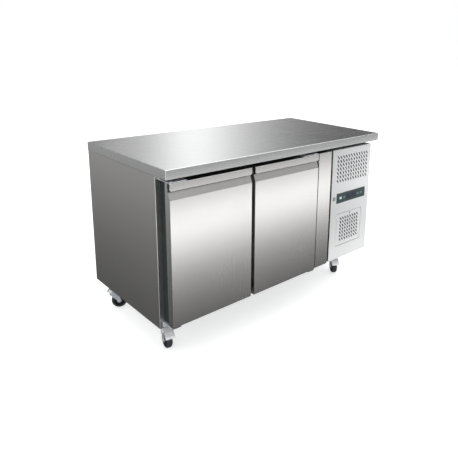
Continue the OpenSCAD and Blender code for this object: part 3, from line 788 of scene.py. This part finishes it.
def slot_loop(bm, x, z, y, length, width, tilt):
    """Edges of a slanted slot with round ends."""
    reach = (length - width) / 2
    ring = bmesh.ops.create_circle(bm, cap_ends=False, segments=12, radius=width / 2)["verts"]
    bmesh.ops.rotate(bm, verts=ring, cent=(0, 0, 0), matrix=Matrix.Rotation(math.pi / 12, 3, "Z"))
    for vert in ring:
        vert.co.x += math.copysign(reach, vert.co.x)
    bmesh.ops.rotate(bm, verts=ring, cent=(0, 0, 0), matrix=Matrix.Rotation(tilt, 3, "Z"))
    bmesh.ops.rotate(bm, verts=ring, cent=(0, 0, 0), matrix=Matrix.Rotation(math.pi / 2, 3, "X"))
    bmesh.ops.translate(bm, vec=(x, y, z), verts=ring)
    return list({edge for vert in ring for edge in vert.link_edges})


def outwards(x0, x1, z0, z1, radius, out, back):
    """Step of a point on a rounded rectangle: out along its normal and back along Y."""

    def step(at):
        near = Vector((min(max(at.x, x0 + radius), x1 - radius), at.y,
                       min(max(at.z, z0 + radius), z1 - radius)))
        way = (at - near).normalized()
        return way * out + Vector((0, back, 0))

    return step


def folded_pan(low, high, depth, slots, holes):
    """A sheet pan with slots and holes; its rim is bent back and the holes' edges turned in."""
    bm = bmesh.new()
    radius, bend = 0.0008, BEND
    x0, x1, z0, z1 = low.x + bend, high.x - bend, low.z + bend, high.z - bend
    rim = rounded_loop(bm, x0, x1, z0, z1, low.y, radius)
    inner = []
    for slot in slots:
        inner += slot_loop(bm, *slot)
    turned = []
    for hx0, hx1, hz0, hz1, hole_depth in holes:
        loop = rounded_loop(bm, hx0, hx1, hz0, hz1, low.y, 0.0012)
        inner += loop
        turned.append((loop, hole_depth))
    bmesh.ops.triangle_fill(bm, use_beauty=True, use_dissolve=False, edges=rim + inner,
                            normal=(0, -1, 0))
    steps = 4
    for k in range(steps):
        a, b = math.pi / 2 * k / steps, math.pi / 2 * (k + 1) / steps
        grown = bend * math.sin(a)
        step = outwards(x0 - grown, x1 + grown, z0 - grown, z1 + grown, radius + grown,
                        bend * (math.sin(b) - math.sin(a)), bend * (math.cos(a) - math.cos(b)))
        rim = pulled_edges(bm, rim, step)
    pulled_edges(bm, rim, lambda at: (0, depth - bend, 0))
    for loop, hole_depth in turned:
        pulled_edges(bm, loop, lambda at: (0, hole_depth, 0))
    outward(bm)
    front = max(bm.faces, key=lambda f: abs(f.normal.y) * f.calc_area())
    if front.normal.y > 0:
        bmesh.ops.reverse_faces(bm, faces=bm.faces)
    return bm


def slot_field(x0, z0, columns, rows, pitch_x, pitch_z, length, y):
    """Places of slanted slots on a grid, each with its length, width and tilt."""
    return [(x0 + (i + 0.5) * pitch_x, z0 + (j + 0.5) * pitch_z, y, length, SLOT_W, SLOT_TILT)
            for i in range(columns) for j in range(rows)]


def service_panel():
    """Panel, dark screen behind its upper slots, a dark rubber strip on its left fold as painted shade,
    flap with its pins, lock collar.
    """
    low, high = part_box("service_panel")
    node_low, node_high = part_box("filter_flap")
    flap_low = Vector((low.x + 0.055, node_low.y, node_low.z))
    flap_high = Vector((flap_low.x + 0.205, node_high.y, node_high.z))
    ctrl_low, ctrl_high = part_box("controller")
    gap, inset, edge = 0.002, 0.003, 0.006
    vent_x, vent_z, columns, rows, pitch_x, pitch_z = low.x + 0.033, 0.615, 12, 7, 0.0218, 0.0213
    vents = slot_field(vent_x, vent_z, columns, rows, pitch_x, pitch_z, 0.0225, low.y)
    holes = [(flap_low.x - gap, flap_high.x + gap, flap_low.z - gap, flap_high.z + gap, 0.011),
             (ctrl_low.x + inset, ctrl_high.x - inset, ctrl_low.z + inset, ctrl_high.z - inset,
              0.001)]
    bm = folded_pan(low, high, high.y - low.y - 0.0005, vents, holes)
    piece(bm, "service_cover", "service_panel", "light_panel", ["service_panel"],
          thickness=SHEET, smooth=35)

    screen = block((vent_x - edge, low.y + 0.0018, vent_z - edge),
                   (vent_x + columns * pitch_x + edge, low.y + 0.0028,
                    vent_z + rows * pitch_z + edge), 0.0003, 1)
    piece(screen, "vent_screen", "service_panel", "filter_foam")
    # Painted shade: a dark strip along the panel's left fold, where the fold lies in shadow.
    seal = block((low.x - 0.0014, low.y + inset, low.z + inset),
                 (low.x - 0.0001, low.y + 0.021, high.z - inset), 0.0004, 1)
    piece(seal, "panel_edge_shade_strip", "service_panel", "gasket_rubber")

    slots = slot_field(flap_low.x + 0.021, 0.2785, 8, 7, 0.0204, 0.020, 0.0212, flap_low.y)
    bm = folded_pan(flap_low, flap_high, 0.0115, slots, [])
    piece(bm, "vent_flap", "filter_flap", "light_panel", ["filter_flap"], thickness=SHEET,
          smooth=35)
    pivot = Vector(JOINTS["flap_hinge"]["pos_m"])
    rods = []
    for x in (flap_low.x - gap - 0.001, flap_high.x - 0.002):
        rod = lathe([(0, 0), (0.0012, 0), (0.0015, 0.0003), (0.0015, 0.0047), (0.0012, 0.005),
                     (0, 0.005)], 16)
        rods.append(moved(rod, facing((x, pivot.y, pivot.z), (1, 0, 0))))
    piece(joined(rods), "flap_pins", "filter_flap", "zinc")
    lock = Vector(JOINTS["panel_lock_turn"]["pos_m"])
    ring = lathe([(0.0082, 0), (0.0118, 0), (0.0120, 0.0004), (0.0112, 0.0010), (0.0090, 0.0012),
                  (0.0082, 0.0006)], 32)
    outward(ring)
    collar = moved(ring, facing((lock.x, low.y, lock.z), (0, -1, 0)))
    piece(collar, "lock_collar", "service_panel", "zinc", material="lock_metal")


def quarter_turn(node, body, name):
    """Head and tongue of a quarter turn, with their edges eased."""
    piece(softened(node, 0.0004), name, body, "zinc", [node], material="lock_metal")


def controller():
    low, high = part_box("controller")
    piece(softened("controller", 0.0006), "controller_fascia", "service_panel",
          "controller_black", ["controller"])
    side_gap, end_gap = 0.079, 0.013
    outline = rectangle(low.x + side_gap, high.x - side_gap, low.z + end_gap, high.z - end_gap)
    window = plate(rounded(outline, 0.002), "Y", low.y + 0.0001, low.y + 0.0007, 0.0001, 1)
    piece(window, "display_window", "service_panel", "controller_black",
          material="display_window")
    for i in range(1, 5):
        key_low, key_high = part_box(f"key_{i}")
        outline = rectangle(key_low.x, key_high.x, key_low.z, key_high.z)
        key = prism(rounded(outline, 0.003), "Y", key_low.y, key_high.y)
        front = [e for e in sharp_edges(key, 50)
                 if max(v.co.y for v in e.verts) < key_low.y + 1e-5]
        bevel(key, front, 0.001, 3)
        piece(key, f"key_{i}_cap", f"key_{i}", "key_grey", [f"key_{i}"],
              material="key_pale" if i == 1 else "key_grey")


# ---- Castors ----
def castor_place(name):
    """Where a castor stands: its swivel axis, turned to where its wheel trails, and the trail."""
    swivel = Vector(JOINTS[f"castor_{name}_swivel"]["pos_m"])
    wheel = Vector(JOINTS[f"wheel_{name}_roll"]["pos_m"])
    trail = (wheel - swivel).xy
    turn = Matrix.Rotation(math.atan2(trail.y, trail.x), 4, "Z")
    return Matrix.Translation((swivel.x, swivel.y, 0)) @ turn, trail.length


def castor_wheel(name, place, trail, wheel_r):
    """Tyre with a groove round its middle, on a spoked hub."""
    half_w = 0.013
    at_axle = place @ facing((trail, 0, wheel_r), (0, 1, 0))
    tyre = lathe(mirrored([
        (wheel_r - 0.0105, -half_w + 0.0006), (wheel_r - 0.004, -half_w),
        (wheel_r - 0.0015, -half_w + 0.0022), (wheel_r, -half_w + 0.0065), (wheel_r, -0.0009),
        (wheel_r - 0.0008, -0.0003)]), 56)
    piece(moved(tyre, at_axle), f"{name}_tyre", f"wheel_{name}", "tyre_rubber",
          [f"castor_{name}_wheel"])
    hub = mirrored([
        (0.0041, -0.0138), (0.0085, -0.0138), (0.0090, -0.0130), (0.0100, -0.0092),
        (0.018, -0.0074), (wheel_r - 0.0125, -0.0080), (wheel_r - 0.0103, -half_w + 0.0007),
        (wheel_r - 0.0098, -half_w + 0.0012)])
    parts = [lathe(hub + hub[:1], 40)]
    for spoke in range(6):
        for face in (-0.0088, 0.0088):
            rib = block((0.0095, -0.0008, face - 0.0016),
                        (wheel_r - 0.0120, 0.0008, face + 0.0016), 0.0004, 1)
            parts.append(moved(rib, Matrix.Rotation(math.tau * spoke / 6, 4, "Z")))
    piece(moved(joined(parts), at_axle), f"{name}_hub", f"wheel_{name}", "tyre_rubber",
          material="black_nylon")


def castor(name, braked):
    """Wheel, and a fork of two cheeks under a yoke and its bearing race."""
    place, trail = castor_place(name)
    wheel_r = JOINTS[f"wheel_{name}_roll"]["pos_m"][2]
    castor_wheel(name, place, trail, wheel_r)
    top = FORK_TOP
    cheek = rounded([(-0.012, top + 0.001, 0.0001), (-0.012, top - 0.011, 0.006),
                     (trail - 0.0125, wheel_r + 0.004, 0.010),
                     (trail - 0.009, wheel_r - 0.0095, 0.008),
                     (trail + 0.007, wheel_r - 0.0095, 0.008),
                     (trail + 0.0098, wheel_r + 0.003, 0.009),
                     (0.027, top - 0.011, 0.006), (0.023, top + 0.001, 0.0001)], 0.004, steps=3)
    fork = []
    for side in (-1, 1):
        inner = side * FORK_GAP
        outer = inner + side * CHEEK_T
        fork.append(plate(cheek, "Y", inner, outer, 0.0006))
        nut = bolt_head(0.0068, 0.004)
        stub = lathe([(0, 0.0062), (0.0032, 0.0060), (0.0038, 0.0054), (0.0038, 0), (0, 0)], 20)
        washer = lathe([(0.004, 0.0008), (0.0088, 0.0008), (0.0092, 0.0004), (0.0092, 0),
                        (0.004, 0), (0.004, 0.0008)], 28)
        fork += [moved(part, facing((trail, outer, wheel_r), (0, side, 0)))
                 for part in (nut, stub, washer)]
    pin = lathe([(0, -FORK_GAP), (0.0039, -FORK_GAP), (0.0039, FORK_GAP), (0, FORK_GAP)], 24)
    fork.append(moved(pin, facing((trail, 0, wheel_r), (0, 1, 0))))
    half = FORK_GAP + CHEEK_T
    yoke = rounded(rectangle(-0.0160, 0.0240, -half, half), 0.006)
    fork.append(plate(yoke, "Z", top - 0.0005, top + 0.0022, 0.0007))
    race = lathe([(0.0066, 0.0014), (0.0215, 0.0014), (0.0228, 0.0022), (0.0230, 0.0030),
                  (0.0222, 0.0044), (0.0205, 0.0052), (0.0200, 0.0072), (0.0190, 0.0096),
                  (0.0165, 0.0124), (0.0140, 0.0129), (0.0066, 0.0129), (0.0066, 0.0014)], 48)
    fork.append(moved(race, Matrix.Translation((0, 0, top))))
    piece(moved(joined(fork), place), f"{name}_fork", f"castor_{name}", "zinc",
          [f"castor_{name}_fork"])
    if braked:
        brake(name, place)


def brake(name, place):
    """Pressed pedal with a rolled tread, two cheeks on the fork, and the stud it turns on."""
    half, top = 0.022, FORK_TOP
    upper = rounded([(0.026, top + 0.0028), (0.030, top + 0.0036), (0.062, top - 0.0044),
                     (0.0778, top - 0.0200), (0.0790, top - 0.0268)], 0.010, closed=False,
                    steps=5)
    under = [(x - 0.0008, z - 0.0017) for x, z in reversed(upper)]
    parts = [plate([tuple(p) for p in upper] + under, "Y", -half, half, 0.0006, angle=50)]
    for rib in range(4):
        x, z = 0.040 + rib * 0.006, top + 0.0022 - rib * 0.0015
        bar = block((-0.0012, -0.015, -0.0006), (0.0012, 0.015, 0.0010), 0.0005, 2)
        lean = Matrix.Rotation(math.radians(14), 4, "Y")
        parts.append(moved(bar, Matrix.Translation((x, 0, z - 0.0004)) @ lean))
    cheek = rounded([(0.012, top - 0.008), (0.012, top + 0.001), (0.026, top + 0.0028),
                     (0.060, top - 0.005), (0.040, top - 0.009)], 0.003, steps=2)
    for side in (-1, 1):
        outer = side * half
        parts.append(plate(cheek, "Y", outer, outer - side * 0.002, 0.0004, 1))
    piece(moved(joined(parts), place), f"{name}_brake_pedal", f"pedal_{name}", "pedal_zinc",
          [f"castor_{name}_pedal"])
    studs = []
    for side in (-1, 1):
        stud = lathe([(0, 0.0088), (0.0012, 0.0088), (0.0019, 0.0082), (0.0019, 0), (0, 0)], 16)
        at = (0.018, side * (FORK_GAP + 0.0022), top - 0.003)
        studs.append(moved(stud, place @ facing(at, (0, side, 0))))
    piece(joined(studs), f"{name}_brake_stud", f"castor_{name}", "zinc")


def castor_stems():
    """Plates under the base with their bolts, and the threaded stem with its nut on each castor."""
    half, bolt_at, plate_t = 0.036, 0.027, 0.003
    thread_z, turn, turns = 0.0915, 0.00125, 36
    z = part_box("side_panel_left")[0].z
    parts = []
    for name in CASTORS:
        at = castor_place(name)[0].to_translation()
        outline = rectangle(at.x - half, at.x + half, at.y - half, at.y + half)
        parts.append(plate(rounded(outline, 0.006), "Z", z - plate_t, z, 0.0006))
        for sx, sy in CORNERS:
            bolt_place = (at.x + sx * bolt_at, at.y + sy * bolt_at, z - plate_t)
            parts.append(moved(bolt_head(0.0055, 0.0036), facing(bolt_place, (0, 0, -1))))
        nut_place = facing((at.x, at.y, z - plate_t), (0, 0, -1))
        parts.append(moved(bolt_head(0.011, 0.009), nut_place))
        thread = []
        for k in range(turns):
            thread += [(0.0060, thread_z + k * turn), (0.0054, thread_z + (k + 0.5) * turn)]
        stem = lathe([(0, thread_z - 0.0004)] + thread + [(0, thread_z + turns * turn)], 20)
        parts.append(moved(stem, Matrix.Translation((at.x, at.y, 0))))
    piece(joined(parts), "castor_mountings", "cabinet", "zinc", ["castor_stems"])


# ---- Inside ----
def fan(node, name, axis, reach, hub_r, depth, blades):
    """Fan wheel with a domed hub and swept, twisted blades."""
    centre = Vector(JOINTS[f"{node}_spin"]["pos_m"])
    half = depth / 2
    parts = [lathe([(0.0031, -half), (hub_r - 0.002, -half), (hub_r, -half + 0.002),
                    (hub_r, half - 0.003), (hub_r - 0.003, half - 0.0005), (0.008, half),
                    (0.0031, half), (0.0031, -half)], 40)]
    for i in range(blades):
        blade = bmesh.new()
        bmesh.ops.create_grid(blade, x_segments=8, y_segments=4, size=0.5)
        for vert in blade.verts:
            out, across = vert.co.x + 0.5, vert.co.y
            radius = hub_r - 0.0015 + out * (reach - hub_r + 0.0015)
            chord = 0.42 * reach * (0.7 + 0.5 * out - 0.25 * out ** 4)
            turn = chord * across / radius + 0.25 * out
            pitch = math.tan(math.radians(30 - 12 * out)) * chord * across
            limit = half - 0.0006
            vert.co = (radius * math.cos(turn), radius * math.sin(turn),
                       max(-limit, min(limit, pitch)))
        outward(blade)
        bmesh.ops.solidify(blade, geom=blade.faces[:], thickness=0.0012)
        parts.append(moved(blade, Matrix.Rotation(math.tau * i / blades, 4, "Z")))
    piece(moved(joined(parts), facing(centre, axis)), name, node, "fan_plastic", [node])


def compressor():
    """Welded can with its seam, footed plate, rubber feet and terminal box."""
    low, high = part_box("compressor")
    x, y, z = low.x + 0.092, (low.y + high.y) / 2, low.z + 0.0188
    can = lathe([(0, 0.008), (0.062, 0.008), (0.072, 0.012), (0.0785, 0.022), (0.0795, 0.034),
                 (0.0795, 0.070), (0.0812, 0.0725), (0.0816, 0.0765), (0.0800, 0.079),
                 (0.0790, 0.082), (0.0790, 0.112), (0.0775, 0.124), (0.0730, 0.138),
                 (0.0630, 0.152), (0.0480, 0.161), (0.0300, 0.166), (0.0120, 0.1685),
                 (0, 0.169)], 64)
    base = rounded(rectangle(x - 0.092, x + 0.092, y - 0.072, y + 0.072), 0.012)
    box = block((x + 0.074, y - 0.024, z + 0.050), (x + 0.112, y + 0.024, z + 0.110), 0.004, 4)
    parts = [moved(can, Matrix.Translation((x, y, z))),
             plate(base, "Z", z + 0.003, z + 0.007, 0.0008), box]
    piece(joined(parts), "compressor_can", "cabinet", "compressor_paint", ["compressor"])
    feet, bolts = [], []
    for sx, sy in CORNERS:
        foot_x, foot_y = x + sx * 0.075, y + sy * 0.055
        foot = lathe([(0, 0), (0.0120, 0), (0.0120, 0.004), (0.0095, 0.006), (0.0105, 0.010),
                      (0.0095, 0.014), (0.0118, 0.018), (0.0118, 0.0216), (0, 0.0216)], 28)
        feet.append(moved(foot, Matrix.Translation((foot_x, foot_y, low.z))))
        bolt = bolt_head(0.006, 0.004)
        bolts.append(moved(bolt, Matrix.Translation((foot_x, foot_y, z + 0.007))))
    piece(joined(feet), "compressor_feet", "cabinet", "compressor_paint",
          material="gasket_rubber")
    piece(joined(bolts), "compressor_bolts", "cabinet", "zinc")


def half_ring(at, start, end, pipe_r):
    """Return bend of a coil: half a ring of pipe between two tube ends; it bulges along at."""
    start, end = Vector(start), Vector(end)
    middle = (start + end) / 2
    spoke = start - middle
    axis = spoke.cross(Vector(at)).normalized()
    bm = bmesh.new()
    ring = bmesh.ops.create_circle(bm, cap_ends=False, segments=12, radius=pipe_r)["verts"]
    bmesh.ops.transform(bm, matrix=facing(start, at), verts=ring)
    bmesh.ops.spin(bm, geom=ring + list({e for v in ring for e in v.link_edges}), cent=middle, axis=axis,
                   angle=math.pi, steps=8)
    return outward(bm)


def coil_bends(node, name, along, rows, first, pitch, depths):
    """Return bends at alternate ends of a coil, for tubes that run along X (0) or Y (1)."""
    low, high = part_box(node)
    bends = []
    for row in range(rows):
        end, sign = (high, 1) if row % 2 == 0 else (low, -1)
        way = Vector((0, 0, 0))
        way[along] = sign
        for depth in depths:
            at = Vector((0, 0, first + row * pitch))
            at[along] = end[along]
            at[1 - along] = low[1 - along] + depth
            bends.append(half_ring(way, at, at + Vector((0, 0, pitch)), COIL_TUBE_R))
    piece(joined(bends), name, "cabinet", "copper")


def soften_inside():
    """The plain inner parts, with their edges eased."""
    for node, radius in (("door_frame", 0.0012), ("centre_post", 0.0015),
                         ("evaporator_cover", 0.0004), ("condenser_shroud", 0.0008),
                         ("condensate_tray", 0.0006), ("lock_striker", 0.0005),
                         ("shelf_supports", 0.0010), ("cable_gland", 0.0006),
                         ("fan_motors", 0.0008)):
        piece(softened(node, radius), f"{node}_part", "cabinet", SLOTS[node], [node])


def dress_cad_nodes():
    """Every CAD node gets its finish, shown or not."""
    for name, node in NODES.items():
        material = MATERIALS[SLOTS[name]]
        if node.material_slots:
            for slot in node.material_slots:
                slot.material = material
        else:
            node.data.materials.append(material)


# ---- Floor, light and camera ----
def glow(name, colour, strength):
    """A surface that only shines, for the floor and for the cards that the steel mirrors."""
    material = bpy.data.materials.new(name)
    material.use_nodes = True
    tree = material.node_tree
    tree.nodes.remove(tree.nodes["Principled BSDF"])
    paint = Paint(tree)
    tone = colour(paint) if callable(colour) else colour
    shine = paint.node("ShaderNodeEmission", values={"Color": tone, "Strength": strength})
    tree.links.new(shine.socket, tree.nodes["Material Output"].inputs["Surface"])
    return material


def plane(name, size, height, material):
    bm = bmesh.new()
    bmesh.ops.create_grid(bm, x_segments=1, y_segments=1, size=size)
    bmesh.ops.translate(bm, vec=(0, 0, height), verts=bm.verts)
    mesh = bpy.data.meshes.new(name)
    bm.to_mesh(mesh)
    bm.free()
    obj = bpy.data.objects.new(name, mesh)
    obj.data.materials.append(material)
    bpy.context.collection.objects.link(obj)
    return obj


def floor():
    """Pale floor for the eye, and a graded card in its place that only the steel mirrors."""
    material = bpy.data.materials.new("studio_floor")
    material.use_nodes = True
    tree = material.node_tree
    paint = Paint(tree)
    shader = tree.nodes["Principled BSDF"]
    paint.feed(shader.inputs["Base Color"], (0.9, 0.9, 0.9))
    shader.inputs["Roughness"].default_value = 0.9
    shader.inputs["Emission Color"].default_value = (1, 1, 1, 1)
    shader.inputs["Emission Strength"].default_value = 0.55
    seen = plane("studio_floor", 30, 0, material)
    seen.visible_glossy = False

    def front_tone(paint):
        front = (paint.axis("Y") * -1 - 0.35) / 4
        return paint.grey(front, (0.0, 0.09), (0.0625, 0.16), (0.125, 0.27), (0.18, 0.43),
                          (0.215, 0.60), (0.25, 0.85), (0.30, 1.35), (0.35, 1.95), (0.41, 1.75),
                          (0.47, 1.0), (0.505, 0.58), (0.55, 0.30), (0.63, 0.20), (1.0, 0.20))

    def left_tone(paint):
        side = (paint.axis("X") * -1 - 0.68) / 4
        return paint.grey(side, (0.0, 0.075), (0.05, 0.10), (0.13, 0.15), (0.25, 0.225),
                          (0.36, 0.34), (1.0, 0.4))

    def graded(paint):
        in_front = (paint.axis("Y") * -1 - 0.3).within(0.0, 0.1)
        turn = (paint.axis("X") * -1 - 0.68).math("ARCTAN2", paint.axis("Y") * -1 - 0.35)
        corner = turn.within(0.50, 0.66) * (1 - turn.within(0.92, 1.08))
        tone = paint.mix(in_front, left_tone(paint), front_tone(paint))
        return paint.mix(corner, tone, (1.2, 1.2, 1.2))

    card = plane("mirror_card", 30, -0.002, glow("mirror_card", graded, 1.0))
    card.visible_camera = False
    card.visible_diffuse = False
    card.visible_shadow = False


def world_light():
    """White room; the steel mirrors a tall light behind the counter and a bright upper sky."""
    world = bpy.data.worlds.new("studio")
    bpy.context.scene.world = world
    world.use_nodes = True
    paint = Paint(world.node_tree)
    way = paint.node("ShaderNodeTexCoord", output="Generated")
    x, y, z = (paint.node("ShaderNodeSeparateXYZ", values={0: way}, output=axis) for axis in "XYZ")
    heading = x.math("ARCTAN2", y) / math.pi * 0.5 + 0.5
    studio = paint.grey(heading, (0.0, 0.5), (0.25, 0.55), (0.42, 0.25), (0.5, 0.25),
                        (0.560, 0.16), (0.5656, 0.24), (0.570, 0.40), (0.575, 0.38),
                        (0.580, 0.54), (0.585, 0.82), (0.591, 1.20), (0.597, 1.18),
                        (0.604, 0.85), (0.610, 0.60), (0.622, 0.27), (0.635, 0.09),
                        (0.65, 0.04), (0.72, 0.3), (0.8, 0.5), (0.87, 0.36), (1.0, 0.45))
    studio = paint.mix(z.within(0.53, 0.63), studio, (1.7, 1.7, 1.7))
    glossy = paint.node("ShaderNodeLightPath", output="Is Glossy Ray")
    tone = paint.mix(glossy, (1, 1, 1), studio)
    background = world.node_tree.nodes["Background"]
    paint.feed(background.inputs["Color"], tone)
    background.inputs["Strength"].default_value = 1.0


def camera():
    """Stands off the front left corner, a little above the worktop."""
    data = bpy.data.cameras.new("camera")
    data.lens = 39.35
    data.sensor_width = 36
    data.shift_x = -0.116
    data.shift_y = -0.1476
    data.clip_end = 100
    heading, tilt, roll = (math.radians(a) for a in (44.14, 13.40, 1.43))
    obj = bpy.data.objects.new("camera", data)
    obj.matrix_world = (Matrix.Translation((-1.6344, -1.9648, 1.3316))
                        @ Matrix.Rotation(-heading, 4, "Z")
                        @ Matrix.Rotation(math.pi / 2 - tilt, 4, "X")
                        @ Matrix.Rotation(roll, 4, "Z"))
    bpy.context.collection.objects.link(obj)
    bpy.context.scene.camera = obj


camera()
worktop()
for side in SIDES:
    side_panel(side)
    door(side)
service_hinges()
cabinet_face()
front_strip()
rear_details()
hinges()
service_panel()
quarter_turn("flap_latch", "flap_latch", "flap_fastener")
quarter_turn("panel_lock", "panel_lock", "panel_lock_head")
controller()
castor_stems()
for name in CASTORS:
    castor(name, braked=name.startswith("front"))
fan("evaporator_fan", "evaporator_fan_wheel", (1, 0, 0), 0.066, 0.018, 0.012, 5)
fan("condenser_fan", "condenser_fan_wheel", (0, 1, 0), 0.098, 0.022, 0.016, 5)
compressor()
coil_bends("condenser_coil", "condenser_bends", 0, 5, 0.212, 0.038, (0.011, 0.033))
coil_bends("evaporator_coil", "evaporator_bends", 1, 7, 0.322, 0.048, (0.010, 0.030))
soften_inside()
dress_cad_nodes()
floor()
world_light()
bpy.context.scene.view_settings.view_transform = "Standard"
